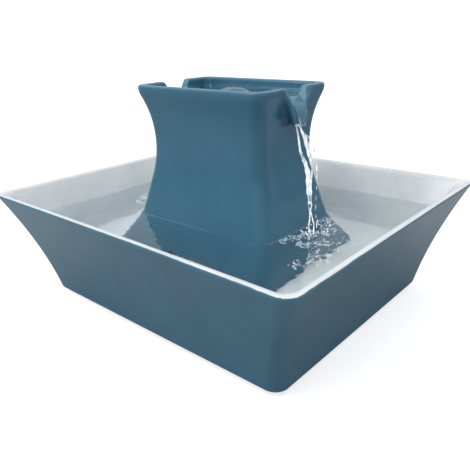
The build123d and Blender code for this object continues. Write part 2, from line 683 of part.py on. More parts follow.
def rotor_magnet():
    return rod_x(MAGNET_RADIUS, magnet_x()) - rod_x(SHAFT_RADIUS + RUN_GAP, magnet_x())


def impeller():
    """Straight vanes, because this kind of motor starts in either direction, on a hub held by the magnet."""
    plate_x = motor_x + IMPELLER_GAP
    vane_x = (plate_x + IMPELLER_PLATE, plate_x + IMPELLER_PLATE + VANE_DEPTH)
    wheel = rod_x(HUB_RADIUS, (magnet_x()[1], vane_x[1])) + rod_x(IMPELLER_RADIUS, (plate_x, vane_x[0]))
    plane = Plane(origin=(vane_x[0], 0, axis_z), x_dir=(0, 1, 0), z_dir=(1, 0, 0))
    span = IMPELLER_RADIUS - HUB_RADIUS / 2
    blade = Pos(HUB_RADIUS / 2 + span / 2, 0) * Rectangle(span, VANE_THICKNESS)
    for number in range(VANE_COUNT):
        wheel += extrude(plane * Rot(0, 0, number * 360 / VANE_COUNT) * blade, amount=VANE_DEPTH)
    wheel &= rod_x(IMPELLER_RADIUS, (well_x, volute_x))
    return wheel - rod_x(SHAFT_RADIUS + RUN_GAP, (well_x, volute_x))


def impeller_shaft():
    return rod_x(SHAFT_RADIUS, (well_x - SHAFT_ROOT, volute_x))


# ---- Riser ---------------------------------------------------------------------------------------
def riser_tube():
    z = (cover_top_z, seal_top_z - SEAL_PROUD)
    return rod_z(tube_radius, z) - rod_z(OUTLET_RADIUS + FIT_GAP, z)


# ---- Every piece, under its node's name ----------------------------------------------------------
PIECES = {
    "bowl": bowl,
    "base_pads": base_pads,
    "cord_plug": cord_plug,
    "tower": tower,
    "riser_seal": riser_seal,
    "filter_housing": filter_housing,
    "housing_cover": housing_cover,
    "housing_feet": housing_feet,
    "foam_filter": foam_filter,
    "cartridge_frame": cartridge_frame,
    "filter_cloth": filter_cloth,
    "charcoal": charcoal,
    "pump_case": pump_case,
    "cable_gland": cable_gland,
    "stator_core": stator_core,
    "coil_bobbin": coil_bobbin,
    "coil_winding": coil_winding,
    "volute": volute,
    "intake_grille": intake_grille,
    "flow_knob": flow_knob,
    "impeller": impeller,
    "rotor_magnet": rotor_magnet,
    "impeller_shaft": impeller_shaft,
    "riser_tube": riser_tube,
}

os.makedirs("parts", exist_ok=True)
for node, make in PIECES.items():
    made = make()
    solids = made if isinstance(made, list) else [made]
    shape = solids[0] if len(solids) == 1 else Compound(children=solids)
    shape.label = node
    export_step(shape, f"parts/{node}.step")
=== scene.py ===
# %% [markdown]
# # A pet water fountain, piece by piece
# The real object is a bowl of glazed stoneware with a hollow tower standing in it. A pump inside
# the tower lifts water to a dish on top, and it runs back over a spout at each end. This lesson
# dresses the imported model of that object: it gives every part its surface, remakes the ceramic and
# the filters as the soft shapes they are, and adds the water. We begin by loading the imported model,
# because every size below is read from it.

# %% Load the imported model
import json
from itertools import product
from math import cos, pi, radians, sin, sqrt, tau

import bmesh
import bpy
import numpy as np
from mathutils import Matrix, Vector, noise


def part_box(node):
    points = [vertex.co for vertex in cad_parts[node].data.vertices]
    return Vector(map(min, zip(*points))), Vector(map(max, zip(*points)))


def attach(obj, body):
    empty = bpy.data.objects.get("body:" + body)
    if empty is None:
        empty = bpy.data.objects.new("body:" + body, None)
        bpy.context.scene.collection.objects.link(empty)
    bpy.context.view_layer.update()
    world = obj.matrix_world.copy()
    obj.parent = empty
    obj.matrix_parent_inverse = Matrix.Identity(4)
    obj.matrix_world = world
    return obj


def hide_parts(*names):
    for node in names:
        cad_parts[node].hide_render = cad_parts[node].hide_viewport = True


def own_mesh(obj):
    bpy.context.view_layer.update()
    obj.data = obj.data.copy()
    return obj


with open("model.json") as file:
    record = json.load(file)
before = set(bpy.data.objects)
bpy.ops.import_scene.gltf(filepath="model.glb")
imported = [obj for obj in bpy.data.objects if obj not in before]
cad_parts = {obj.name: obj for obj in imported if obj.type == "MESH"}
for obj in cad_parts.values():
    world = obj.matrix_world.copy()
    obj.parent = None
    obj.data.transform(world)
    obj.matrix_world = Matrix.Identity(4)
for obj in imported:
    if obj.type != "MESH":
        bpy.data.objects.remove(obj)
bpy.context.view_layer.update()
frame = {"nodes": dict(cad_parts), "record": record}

MM = 0.001

# %% [markdown]
# ## Camera
# A camera is placed before anything is dressed, so that each new piece can be judged from the same
# seat. It stands in front of the right-hand corner, a little above the tower, and is rolled by
# almost two degrees, as a hand-held one is. A camera could be aimed with a constraint, but its axes
# are worked out here from three angles, so that the roll is plain to see.

# %% Camera
TARGET = Vector((3.59, -2.41, 47.31)) * MM
DISTANCE = 395.16 * MM
AZIMUTH, ELEVATION, ROLL = radians(41.785), radians(21.052), radians(-1.876)
LENS = 38.60

back = Vector((sin(AZIMUTH) * cos(ELEVATION), -cos(AZIMUTH) * cos(ELEVATION), sin(ELEVATION)))
right = (-back).cross(Vector((0, 0, 1))).normalized()
up = right.cross(-back)
rolled_right = right * cos(ROLL) + up * sin(ROLL)
rolled_up = -right * sin(ROLL) + up * cos(ROLL)


def add_object(name, data):
    made = bpy.data.objects.new(name, data)
    bpy.context.scene.collection.objects.link(made)
    return made


camera_data = bpy.data.cameras.new("camera")
camera_data.lens, camera_data.sensor_width = LENS, 36
camera = add_object("camera", camera_data)
turn = Matrix((rolled_right, rolled_up, back)).transposed()
camera.matrix_world = Matrix.Translation(TARGET + back * DISTANCE) @ turn.to_4x4()
bpy.context.scene.camera = camera
print("camera at", [round(value, 4) for value in camera.matrix_world.translation])

# %% [markdown]
# ## Shader nodes from Python
# Materials are written as node trees from here on. A few short helpers keep that readable: one adds
# a node with its inputs, some stand for the nodes that are used most, and two make and use a node
# group with named sockets.

# %% Helpers for materials
def feed(tree, socket, value):
    """Link another node's output to a socket, or set its value."""
    if isinstance(value, bpy.types.NodeSocket):
        tree.links.new(value, socket)
    else:
        socket.default_value = value


def new_material(name):
    """A material, its node tree and its main shader."""
    made = bpy.data.materials.new(name + "_finish")
    made.use_nodes = True
    return made, made.node_tree, made.node_tree.nodes["Principled BSDF"]


def set_surface(tree, surface, **values):
    """Fill the shader's sockets. Underscores in the names stand for spaces."""
    for title, value in values.items():
        feed(tree, surface.inputs[title.replace("_", " ")], value)


def end_with(tree, shader):
    tree.links.new(shader, tree.nodes["Material Output"].inputs["Surface"])


def add_node(tree, kind, inputs=None, **settings):
    """A shader node. Its inputs are named or numbered, and each is a value or another node's output."""
    made = tree.nodes.new("ShaderNode" + kind)
    for name, value in settings.items():
        setattr(made, name, value)
    for socket, value in (inputs or {}).items():
        feed(tree, made.inputs[socket], value)
    return made


def maths(tree, operation, *values, **settings):
    inputs = dict(enumerate(values))
    return add_node(tree, "Math", inputs, operation=operation, **settings).outputs[0]


def map_range(tree, value, low, high, to_low=0.0, to_high=1.0):
    inputs = {"Value": value, "From Min": low, "From Max": high, "To Min": to_low, "To Max": to_high}
    return add_node(tree, "MapRange", inputs).outputs["Result"]


def object_place(tree):
    return add_node(tree, "TexCoord").outputs["Object"]


def noise_at(tree, place, scale, detail=2, **more):
    inputs = {"Vector": place, "Scale": scale, "Detail": detail, **more}
    return add_node(tree, "TexNoise", inputs).outputs["Fac"]


def grains_at(tree, place, scale):
    return add_node(tree, "TexVoronoi", {"Vector": place, "Scale": scale}).outputs["Distance"]


def stretched(tree, place, scale):
    return add_node(tree, "Mapping", {"Vector": place, "Scale": scale}).outputs["Vector"]


def blend_colours(tree, share, first, second, mode="MIX"):
    """One colour into another, or multiplied by it, by a share from 0 to 1."""
    made = add_node(tree, "Mix", data_type="RGBA", blend_type=mode)
    for socket, value in (("Factor_Float", share), ("A_Color", first), ("B_Color", second)):
        feed(tree, next(item for item in made.inputs if item.identifier == socket), value)
    return next(item for item in made.outputs if item.identifier == "Result_Color")


def tinted(tree, colour, tint):
    return blend_colours(tree, 1.0, colour, tint, "MULTIPLY")


def grey(tree, tone):
    return add_node(tree, "CombineColor", {0: tone, 1: tone, 2: tone}).outputs["Color"]


def mix_shaders(tree, share, first, second):
    return add_node(tree, "MixShader", {0: share, 1: first, 2: second}).outputs["Shader"]


def bump(tree, surface, height, distance_mm):
    """Let a height of this size tilt the light on the surface."""
    made = add_node(tree, "Bump", {"Height": height, "Distance": distance_mm * MM, "Strength": 1.0})
    tree.links.new(made.outputs["Normal"], surface.inputs["Normal"])


def group_with(name, inputs, outputs):
    """An empty node group with named sockets: (name, kind, value) for inputs and (name, kind) for outputs."""
    tree = bpy.data.node_groups.new(name, "ShaderNodeTree")
    for title, kind, value in inputs:
        made = tree.interface.new_socket(title, in_out="INPUT", socket_type="NodeSocket" + kind)
        made.default_value = value
    for title, kind in outputs:
        tree.interface.new_socket(title, in_out="OUTPUT", socket_type="NodeSocket" + kind)
    return tree, tree.nodes.new("NodeGroupInput").outputs, tree.nodes.new("NodeGroupOutput").inputs


def use_group(tree, group, **values):
    """The outputs of a node that uses a group. Underscores in the names stand for spaces."""
    made = tree.nodes.new("ShaderNodeGroup")
    made.node_tree = group
    for title, value in values.items():
        made.inputs[title.replace("_", " ").capitalize()].default_value = value
    return made.outputs


# %% [markdown]
# ## Floor and light
# Glaze shows what surrounds it, so the light is half of the material. The sky is a studio tent:
# bright overhead, and darker near the horizon, which leaves the glaze deep in colour where it faces
# sideways. A camera ray sees the tent as plain white, because a backdrop is lit until it shows
# nothing. The floor is made in the same way: pale to the camera, and greyer to every other ray, so
# that it doesn't light the underside of the bowl too much.

# %% Floor and light
FLOOR_SIZE = 12.0
BACKDROP = (1.02, 1.02, 1.02, 1)  # what a camera ray sees of the tent
HORIZON, ZENITH = (0.36, 0.45, 0.52, 1), (1.18, 1.20, 1.22, 1)
ZENITH_FROM = 0.75  # height on the sphere of the sky from which it is brightest
FLOOR_SEEN, FLOOR_GLOW = (0.55, 0.56, 0.57, 1), 0.66
FLOOR_TONES = (0.40, 0.43)  # what the floor shows to rays that don't come from the camera
WINDOWS = {  # place, aim, size and power
    "window_left": ((-0.5, -1.2, 0.9), (0, 0, 0.06), (0.9, 0.7), 5.9),
    "window_top": ((-0.15, -0.45, 1.2), (0, 0, 0.05), (1.0, 1.0), 5.0),
}


def new_mesh(name, vertices, faces):
    """A smooth object from lists of points and faces, in metres."""
    data = bpy.data.meshes.new(name)
    data.from_pydata(vertices, [], faces)
    data.update()
    data.shade_smooth()
    return add_object(name, data)


half_floor = FLOOR_SIZE / 2
floor_corners = [(x * half_floor, y * half_floor, 0) for x, y in ((-1, -1), (1, -1), (1, 1), (-1, 1))]
floor = new_mesh("floor", floor_corners, [(0, 1, 2, 3)])

floor_finish, tree, _ = new_material("studio_floor")
seen = add_node(tree, "LightPath").outputs["Is Camera Ray"]
tone = map_range(tree, noise_at(tree, object_place(tree), 3.0), 0.3, 0.7, *FLOOR_TONES)
to_others = add_node(tree, "BsdfDiffuse", {"Color": grey(tree, tone)})
pale = add_node(tree, "BsdfDiffuse", {"Color": FLOOR_SEEN})
glow = add_node(tree, "Emission", {"Color": (1, 1, 1, 1), "Strength": FLOOR_GLOW})
to_camera = add_node(tree, "AddShader", {0: pale.outputs[0], 1: glow.outputs[0]})
end_with(tree, mix_shaders(tree, seen, to_others.outputs[0], to_camera.outputs[0]))
floor.data.materials.append(floor_finish)

world = bpy.data.worlds.new("tent")
bpy.context.scene.world = world
world.use_nodes = True
tent = world.node_tree
height = add_node(tent, "SeparateXYZ", {0: add_node(tent, "TexCoord").outputs["Generated"]}).outputs["Z"]
sky = blend_colours(tent, map_range(tent, height, 0.0, ZENITH_FROM), HORIZON, ZENITH)
seen = add_node(tent, "LightPath").outputs["Is Camera Ray"]
tent.links.new(blend_colours(tent, seen, sky, BACKDROP), tent.nodes["Background"].inputs["Color"])


def area_lamp(name, place, aim, size, power):
    """A soft rectangular lamp that looks at a point."""
    data = bpy.data.lights.new(name, "AREA")
    data.shape, data.size, data.size_y, data.energy = "RECTANGLE", size[0], size[1], power
    lamp = add_object(name, data)
    lamp.location = place
    lamp.rotation_euler = (Vector(aim) - Vector(place)).to_track_quat("-Z", "Y").to_euler()


for name, values in WINDOWS.items():
    area_lamp(name, *values)
bpy.context.scene.view_settings.view_transform = "Standard"
print("lamps:", [light.name for light in bpy.data.lights])

# %% [markdown]
# ## Clay as a distance
# Cast and glazed clay has no sharp edge anywhere: walls, lips and spouts all run into each other.
# Bevelling a modelled box gives edges that are round but joints that are not. So the ceramic is
# described in another way here: as a function that says, for any point, how far it lies outside the
# clay. Two such distances are joined with a rounded maximum or minimum, and every joint comes out
# with the fillet that a potter's sponge leaves. The surface is where the distance is zero, and a
# net of quads is laid on it.

# %% Rounded joins of distances
def melt(a, b, radius):
    """Union of two shapes, with a fillet of about this radius where they meet."""
    near = np.maximum(radius - np.abs(a - b), 0) / radius
    return np.minimum(a, b) - near**3 * radius / 6


def keep(a, b, radius):
    """What is inside both shapes, its edges rounded to about this radius."""
    return -melt(-a, -b, radius)


def carve(a, b, radius):
    """Shape a without shape b."""
    return keep(a, -b, radius)


def rounded_sides(x, y, half_x, half_y, corner):
    """Distance to the walls of a four-sided block with rounded upright corners."""
    over_x, over_y = np.abs(x) - half_x + corner, np.abs(y) - half_y + corner
    outside = np.hypot(np.maximum(over_x, 0), np.maximum(over_y, 0))
    return outside + np.minimum(np.maximum(over_x, over_y), 0) - corner


# %% A net of quads on a distance
PULLS = 4  # how often the points are pulled onto the surface
LEAST_STEEPNESS = 0.05  # keeps a point in place where the distance hardly changes


def grid_lines(*stretches):
    """Positions of grid planes: from each limit to the next with the given step."""
    lines = [stretches[0][0]]
    for low, high, step in stretches:
        count = max(1, round((high - low) / step))
        lines.extend(low + (high - low) * (number + 1) / count for number in range(count))
    return np.array(lines)


def both_sides(lines):
    return np.concatenate((-lines[:0:-1], lines))


def slope(distance, points, step=0.05):
    """The direction in which the distance grows fastest, at each point."""
    shifts = np.eye(3) * step
    rises = [distance(*(points + shift).T) - distance(*(points - shift).T) for shift in shifts]
    return np.stack(rises, axis=1) / (2 * step)


def bend_of(distance, points, step=1.2):
    """How sharply the surface bends: above zero on an edge, below zero in a crease."""
    total = sum(distance(*(points + sign * shift).T) for shift in np.eye(3) * step for sign in (-1, 1))
    return (total - 6 * distance(*points.T)) / step**2


def lay_net(distance, lines):
    """Points and quads where the distance is zero: one point in each grid cell that the surface crosses."""
    x, y, z = np.meshgrid(*lines, indexing="ij")
    values = distance(x, y, z)
    inside = values < 0
    counts = np.zeros([len(line) - 1 for line in lines], int)
    corners = [(i, j, k) for i in (0, 1) for j in (0, 1) for k in (0, 1)]

    def at(array, shift):
        return array[tuple(slice(s, s + n) for s, n in zip(shift, counts.shape))]

    for corner in corners:
        counts += at(inside, corner)
    crossed = (counts > 0) & (counts < 8)
    index = np.full(counts.shape, -1)
    index[crossed] = np.arange(crossed.sum())

    total = np.zeros((crossed.sum(), 3))
    hits = np.zeros(crossed.sum())
    for a in corners:
        for b in corners:
            if sum(b) - sum(a) != 1 or any(q < p for p, q in zip(a, b)):
                continue
            low, high = at(values, a)[crossed], at(values, b)[crossed]
            cut = (low < 0) != (high < 0)
            share = np.where(cut, low / np.where(cut, low - high, 1), 0)
            start = np.stack([at(axis, a)[crossed] for axis in (x, y, z)], axis=1)
            end = np.stack([at(axis, b)[crossed] for axis in (x, y, z)], axis=1)
            total += np.where(cut[:, None], start + (end - start) * share[:, None], 0)
            hits += cut
    points = total / hits[:, None]

    quads = []
    for axis in range(3):
        others = [other for other in range(3) if other != axis]
        inner = [slice(None)] * 3
        for other in others:
            inner[other] = slice(1, -1)
        first = inside[tuple(inner)]
        low = [slice(None)] * 3
        low[axis] = slice(0, -1)
        high = [slice(None)] * 3
        high[axis] = slice(1, None)
        turns = first[tuple(low)].astype(int) - first[tuple(high)]
        for sign in (1, -1):
            spots = np.argwhere(turns == sign)
            shifts = [(0, 0), (1, 0), (1, 1), (0, 1)]
            if (sign == 1) == (axis == 1):
                shifts.reverse()
            ring = []
            for shift in shifts:
                cell = spots.copy()
                for other, step in zip(others, shift):
                    cell[:, other] += step
                ring.append(index[tuple(cell.T)])
            quads.append(np.stack(ring, axis=1))
    return points, np.concatenate(quads)


def facing_of(distance, points):
    """The direction in which the surface faces, one unit long."""
    facing = slope(distance, points)
    return facing / np.linalg.norm(facing, axis=1)[:, None]


def point_number(made, name, values):
    """A number for each point of a mesh, which its material can read."""
    layer = made.data.attributes.new(name, "FLOAT", "POINT")
    layer.data.foreach_set("value", np.asarray(values, np.float32))


def clay(name, distance, lines):
    """An object in metres, laid on a distance in millimetres, pulled onto it and shaded by its slope."""
    points, quads = lay_net(distance, lines)
    for _ in range(PULLS):
        rise = slope(distance, points)
        steepness = np.maximum((rise**2).sum(axis=1), LEAST_STEEPNESS)
        points = points - rise * (distance(*points.T) / steepness)[:, None]
    made = new_mesh(name, (points * MM).tolist(), quads.tolist())
    made.data.normals_split_custom_set_from_vertices(facing_of(distance, points).tolist())
    point_number(made, "bend", bend_of(distance, points))
    print(name, len(points), "points", len(quads), "quads")
    return made, points


# %% [markdown]
# ## The tower
# The tower is slip-cast: a skirt that flares to the floor, a waist, and a rim that flares out again
# around the dish. At each end the rim drops into a spout, with two cheeks and a bulging spillway
# between them. The walls below follow one line, straight in the skirt and then an arc, as on the
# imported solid.

# %% Tower sizes
tower_low, tower_high = (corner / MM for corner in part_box("tower"))
RIM_Z, FOOT_Z = tower_high.z, tower_low.z
WAIST = (52.2, 31.9)  # half the waist, along X and Y
WAIST_Z = FOOT_Z + 111
FLARE_RADIUS, FLARE_DROP = 110, 26
TOWER_WALL, TOWER_CORNER = 5.5, 8.5
DISH_Z, DISH_FLOOR = RIM_Z - 28.3, 6
KNEE_Z = WAIST_Z - FLARE_DROP
RIM_SOFT, COVE_SOFT, FOOT_SOFT = 3.4, 7, 1.0  # radii of its edges
RIM_UPRIGHT, UPRIGHT_SOFT = 3.6, 5  # height of the band under the rim that stands upright, and its start
RIM_PULL, PULL_HEIGHT = 0.9, 26  # how far the rim slumped outward, and over what height
RISER_HOLE = 12.4
ARCH_HEIGHT, ARCH_SOFT = 8, 5  # of the openings that let water in under the skirt
ARCH_FRONT, ARCH_END = 18, 13  # half their widths
SPOUT_TIP = (WAIST[0] + 11.8, RIM_Z - 22.3)
CREST = (52.1, RIM_Z - 6)
SPILL_BOW = 3.4  # how far the spillway bulges between crest and tip
CHEEK, CHEEK_SOFT, CHEEK_TOP_SOFT = 3.2, 2.2, 9
SPOUT_FILLET, CHANNEL_SOFT, CHANNEL_COVE = 7, 2.2, 2.6
SPOUT_UNDER, SPOUT_LEAN = 2.2, 0.28  # thickness under the tip, and the fall of the underside towards it

# A wall that leans makes a plain distance read too long, and these factors make up for it.
LEAN_WALL, LEAN_CHEEK, LEAN_UNDER, LEAN_BOWL = 0.98, 0.9, 0.96, 0.95


def rim_at(x, y):
    """Height of the rim, which warped a little in the kiln and stands highest at the back on the left."""
    return RIM_Z + 1.2 - 0.0125 * np.clip(x, -62, 62) + 0.014 * np.clip(y, -42, 42)


def tower_flare(z):
    """How far the walls stand out from the waist at this height."""
    z = melt(z, RIM_Z - RIM_UPRIGHT, UPRIGHT_SOFT)
    arc = FLARE_RADIUS - np.sqrt(FLARE_RADIUS**2 - np.clip(z - WAIST_Z, -FLARE_DROP, 60) ** 2)
    lean = FLARE_DROP / sqrt(FLARE_RADIUS**2 - FLARE_DROP**2)
    pulled = RIM_PULL * np.clip((z - RIM_Z + PULL_HEIGHT) / PULL_HEIGHT, 0, 1) ** 2
    return arc + lean * np.maximum(KNEE_Z - z, 0) + pulled


def cheek_half(z):
    """Half the width over the cheeks: they start wide at the rim and draw together towards the tip."""
    drop = RIM_Z - z
    return np.interp(drop, (-3, 1, 6, 11, 19, 24), (16.0, 13.6, 12.0, 9.8, 7.3, 6.0))


def cheek_edge(z):
    """How far out the cheeks reach: their front edge leans forward on its way down to the tip."""
    return SPOUT_TIP[0] - np.interp(RIM_Z - z, (0, 3, 6.5, 11, 19, 23), (6.0, 5.4, 3.8, 3.0, 1.9, 1.3))


def spout_distance(x, y, z):
    """The cheeks and all that is between and under them, at both ends."""
    rim = rim_at(x, y)
    x, y = np.abs(x), np.abs(y)
    half, edge = cheek_half(z), cheek_edge(z)
    edge = edge + (SPOUT_TIP[0] - edge) * np.clip(1 - (y / (half - CHEEK)) ** 2, 0, 1)
    cheeks = keep((y - half) * LEAN_CHEEK, x - edge, CHEEK_SOFT)
    cheeks = keep(cheeks, z - rim, CHEEK_TOP_SOFT)
    under = (SPOUT_TIP[1] - SPOUT_UNDER + SPOUT_LEAN * (SPOUT_TIP[0] - x) - z) * LEAN_UNDER
    return keep(cheeks, under, 2.4)


def spill_surface(x, z):
    """How far a point lies under the surface that the water runs over: level to the crest, then bulging."""
    chord = Vector((SPOUT_TIP[0] - CREST[0], SPOUT_TIP[1] - CREST[1]))
    radius = (chord.length**2 / 4 + SPILL_BOW**2) / (2 * SPILL_BOW)
    middle = (Vector(SPOUT_TIP) + Vector(CREST)) / 2
    inward = Vector((chord.y, -chord.x)).normalized()
    centre = middle + inward * (radius - SPILL_BOW)
    return np.where(x < CREST[0], CREST[1] - z, radius - np.hypot(x - centre.x, z - centre.y))


def channel_distance(x, y, z):
    """What is open between the cheeks, above the spillway."""
    x, y = np.abs(x), np.abs(y)
    above = np.maximum(spill_surface(x, z), SPOUT_TIP[1] - 1 - z)
    half = cheek_half(z) - CHEEK + 2.2 * np.maximum(x - cheek_edge(z) - 0.4, 0)  # it widens past the cheeks
    return keep(above, (y - half) * LEAN_CHEEK, CHANNEL_COVE)


def tower_sides(x, y, z, wall=0):
    """Distance to the outer face of the tower's walls, or to a face that lies this far inside it."""
    flare = tower_flare(z)
    half_x, half_y = WAIST[0] + flare, WAIST[1] + flare
    return rounded_sides(x, y, half_x - wall, half_y - wall, TOWER_CORNER - wall / 2)


def tower_distance(x, y, z):
    """The walls with the spouts melted on, less the dish, the channels, the hollow skirt and its arches."""
    over_rim = z - rim_at(x, y)
    body = keep(tower_sides(x, y, z) * LEAN_WALL, np.maximum(over_rim, FOOT_Z - z), RIM_SOFT)
    body = melt(body, spout_distance(x, y, z), SPOUT_FILLET)
    body = np.maximum(body, over_rim)
    inner = tower_sides(x, y, z, TOWER_WALL) * LEAN_WALL
    body = carve(body, keep(inner, DISH_Z - z, COVE_SOFT), RIM_SOFT)
    body = carve(body, channel_distance(x, y, z), CHANNEL_SOFT)
    body = carve(body, keep(inner, z - (DISH_Z - DISH_FLOOR), COVE_SOFT), FOOT_SOFT)
    riser_hole = np.maximum(np.hypot(x, y) - RISER_HOLE, np.abs(z - DISH_Z + 3) - 8)
    body = carve(body, riser_hole, FOOT_SOFT)
    over_arch = z - FOOT_Z - ARCH_HEIGHT
    fronts = keep(np.abs(x) - ARCH_FRONT, over_arch, ARCH_SOFT)
    ends = keep(np.abs(y) - ARCH_END, over_arch, ARCH_SOFT)
    return carve(body, np.minimum(fronts, ends), FOOT_SOFT)


tower_lines = [
    both_sides(grid_lines((0, 42, 3), (42, 66, 0.6), (66, 78, 1.2))),
    both_sides(grid_lines((0, 18, 0.6), (18, 24, 1.5), (24, 58, 1.0))),
    grid_lines((FOOT_Z - 2, FOOT_Z + 10, 1), (FOOT_Z + 10, 124, 2.5), (124, RIM_Z + 4.6, 0.6)),
]
tower, tower_points = clay("glazed_tower", tower_distance, tower_lines)
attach(tower, "tower")
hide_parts("tower")

# %% [markdown]
# ## The bowl
# The bowl is one casting too: four walls that lean out and bow slightly, a floor, and an unglazed
# ring underneath on rubber pads. It could be lofted from rings, but the same clay function gives it
# the same soft rim and coves as the tower. Fired ware is never quite straight, so the rim dips
# slightly towards its corners, and one corner lies lower.

# %% Bowl sizes
bowl_low, bowl_high = (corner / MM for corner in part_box("bowl"))
BOWL_RIM_Z, FOOT_RING_Z = bowl_high.z, bowl_low.z
BOWL_FLARE, BOWL_BOW, BOWL_WALL, BOWL_CORNER = 27.6, 2.9, 5.5, 9.5
BOWL_UNDER_Z, BOWL_FLOOR_Z = FOOT_RING_Z + 3, FOOT_RING_Z + 8
RIM_TRIM = 0.85  # how far the rounded lip stays inside the line of the wall
BOWL_HALF = (bowl_high.x + RIM_TRIM, bowl_high.y + RIM_TRIM)
RIM_RISE = 0.4  # of the middle of each side over the corners
CORNER_DROP = 1.3  # the near right corner sank a little in the kiln
RING_INSET, RING_WIDTH = 4, 6  # of the ring underneath
RING_NOTCH = 4.5  # half the width of the notch that lets the cord out
PLUG_HOLE = 6
BOWL_RIM_SOFT, LIP_SOFT, BOWL_COVE, UNDER_SOFT, RING_SOFT = 3.6, 4.4, 7, 3, 1.5  # radii of its edges
PLUG_X = (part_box("cord_plug")[0].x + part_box("cord_plug")[1].x) / 2 / MM


def bowl_flare(z):
    share = (z - BOWL_UNDER_Z) / (BOWL_RIM_Z - BOWL_UNDER_Z)
    return -BOWL_FLARE * (1 - share) - 4 * BOWL_BOW * share * (1 - share)


def bowl_walls(x, y, z, wall=0):
    """Distance to the outer face of the walls, or to their inner face."""
    flare = bowl_flare(z)
    half_x, half_y = BOWL_HALF[0] + flare - wall, BOWL_HALF[1] + flare - wall
    return rounded_sides(x, y, half_x, half_y, BOWL_CORNER - wall / 2) * LEAN_BOWL


def bowl_distance(x, y, z):
    across = np.maximum(np.abs(x / BOWL_HALF[0]), np.abs(y / BOWL_HALF[1]))
    along = np.minimum(np.abs(x / BOWL_HALF[0]), np.abs(y / BOWL_HALF[1]))
    sunk = np.clip(x / BOWL_HALF[0], 0, 1) ** 2 * np.clip(-y / BOWL_HALF[1], 0, 1) ** 2
    rim_z = BOWL_RIM_Z - RIM_RISE * along**2 * across - CORNER_DROP * sunk
    body = keep(bowl_walls(x, y, z), z - rim_z, BOWL_RIM_SOFT)
    body = keep(body, BOWL_UNDER_Z - z, UNDER_SOFT)
    ring_x, ring_y = (half - BOWL_FLARE - RING_INSET for half in BOWL_HALF)
    ring = rounded_sides(x, y, ring_x, ring_y, BOWL_CORNER)
    ring = carve(ring, rounded_sides(x, y, ring_x - RING_WIDTH, ring_y - RING_WIDTH, 6.5), RING_SOFT)
    ring = keep(ring, FOOT_RING_Z - z, RING_SOFT)
    ring = carve(ring, np.maximum(np.abs(x) - RING_NOTCH, -y), RING_SOFT)
    body = melt(body, np.maximum(ring, z - BOWL_UNDER_Z - 2), RING_SOFT)
    inside = keep(bowl_walls(x, y, z, BOWL_WALL), BOWL_FLOOR_Z - z, BOWL_COVE)
    body = carve(body, inside, LIP_SOFT)
    return carve(body, np.hypot(x - PLUG_X, y) - PLUG_HOLE, 0.8)


bowl_lines = [
    both_sides(grid_lines((0, 38, 4), (38, 70, 2), (70, 92, 4), (92, 142, 1.0))),
    both_sides(grid_lines((0, 12, 1.5), (12, 76, 4), (76, 123, 1.0))),
    grid_lines(
        (FOOT_RING_Z - 1, 12, 0.7), (12, BOWL_RIM_Z - 6, 1.6), (BOWL_RIM_Z - 6, BOWL_RIM_Z + 1, 0.6)
    ),
]
bowl, bowl_points = clay("glazed_bowl", bowl_distance, bowl_lines)
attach(bowl, "bowl")
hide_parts("bowl")

# %% [markdown]
# ## Where each glaze lies
# The bowl is dipped twice, white inside and blue outside, and the two meet on the outer edge of the
# lip. The ring that it stands on is wiped bare before firing. In the channels of the spouts the
# glaze is painted lighter, a painted highlight for the light on the water that runs over it, and
# beside their cheeks it is painted darker, a painted shade. These regions follow from the same
# distances as the shape, so each point of the clay carries a number for each of them, and the
# material reads the numbers.

# %% Glaze regions
def shade_by(value, low, high):
    """From 0 at low to 1 at high."""
    return np.clip((value - low) / (high - low), 0, 1)


LIP_BAND = 5  # height under the rim in which the lip's facing decides, and not the nearer wall
x, y, z = bowl_points.T
outer, inner = np.abs(bowl_walls(x, y, z)), np.abs(bowl_walls(x, y, z, BOWL_WALL))
up_share = facing_of(bowl_distance, bowl_points)[:, 2]
on_lip = z > BOWL_RIM_Z - LIP_BAND
outside = np.where(on_lip, shade_by(-up_share, -0.9, -0.7) * (outer < inner), outer < inner)
outside = np.where(z < BOWL_FLOOR_Z - 2, 1, outside)
point_number(bowl, "blue", outside)
point_number(bowl, "bare", shade_by(BOWL_UNDER_Z - 0.6 - z, 0, 0.5))

out, z = np.abs(tower_points[:, 0]), tower_points[:, 2]
channel = channel_distance(*(tower_points + (0, 0, 0.8)).T)  # a little above the surface
# painted highlight: where the spout channels are painted lighter, for the light on the water over them
painted_channel_light = shade_by(out, 47, 52) * shade_by(np.abs(channel), 1.6, 0.6) * (z > SPOUT_TIP[1] - 3)
# painted shade beside the cheeks, where the glaze is painted dark
painted_shade_beside = np.exp(-((spout_distance(*tower_points.T) / 4.5) ** 2)) * (1 - painted_channel_light)
painted_shade_beside *= shade_by(cheek_edge(z) - out, 0.8, 3.5)
painted_shade_beside *= shade_by(RIM_Z - z, 3, 9) * shade_by(out, 46, 52)
painted_shade_beside *= shade_by(z, SPOUT_TIP[1] - 5, SPOUT_TIP[1] - 1)
point_number(tower, "blue", np.ones(len(tower_points)))
point_number(tower, "painted_channel_light", painted_channel_light)
point_number(tower, "pooling_and_painted_shade", painted_shade_beside)
point_number(tower, "bare", shade_by(FOOT_Z + 0.3 - z, 0, 0.3))
print("share of the bowl in blue:", round(float(outside.mean()), 2))

# %% [markdown]
# ## The glaze
# Glaze is glass over clay. It pools in hollows, where it is darker, and that darkening doubles as
# painted shade. It runs thin on edges, where the body shows through. It has a faint mottle from the
# dip, whose light clouds are partly painted reflection, tiny pits, and a surface that is not quite
# flat. Bowl and tower share this, so it is one node group. It puts out a colour, a roughness and a
# height, and the shader stays in the material.

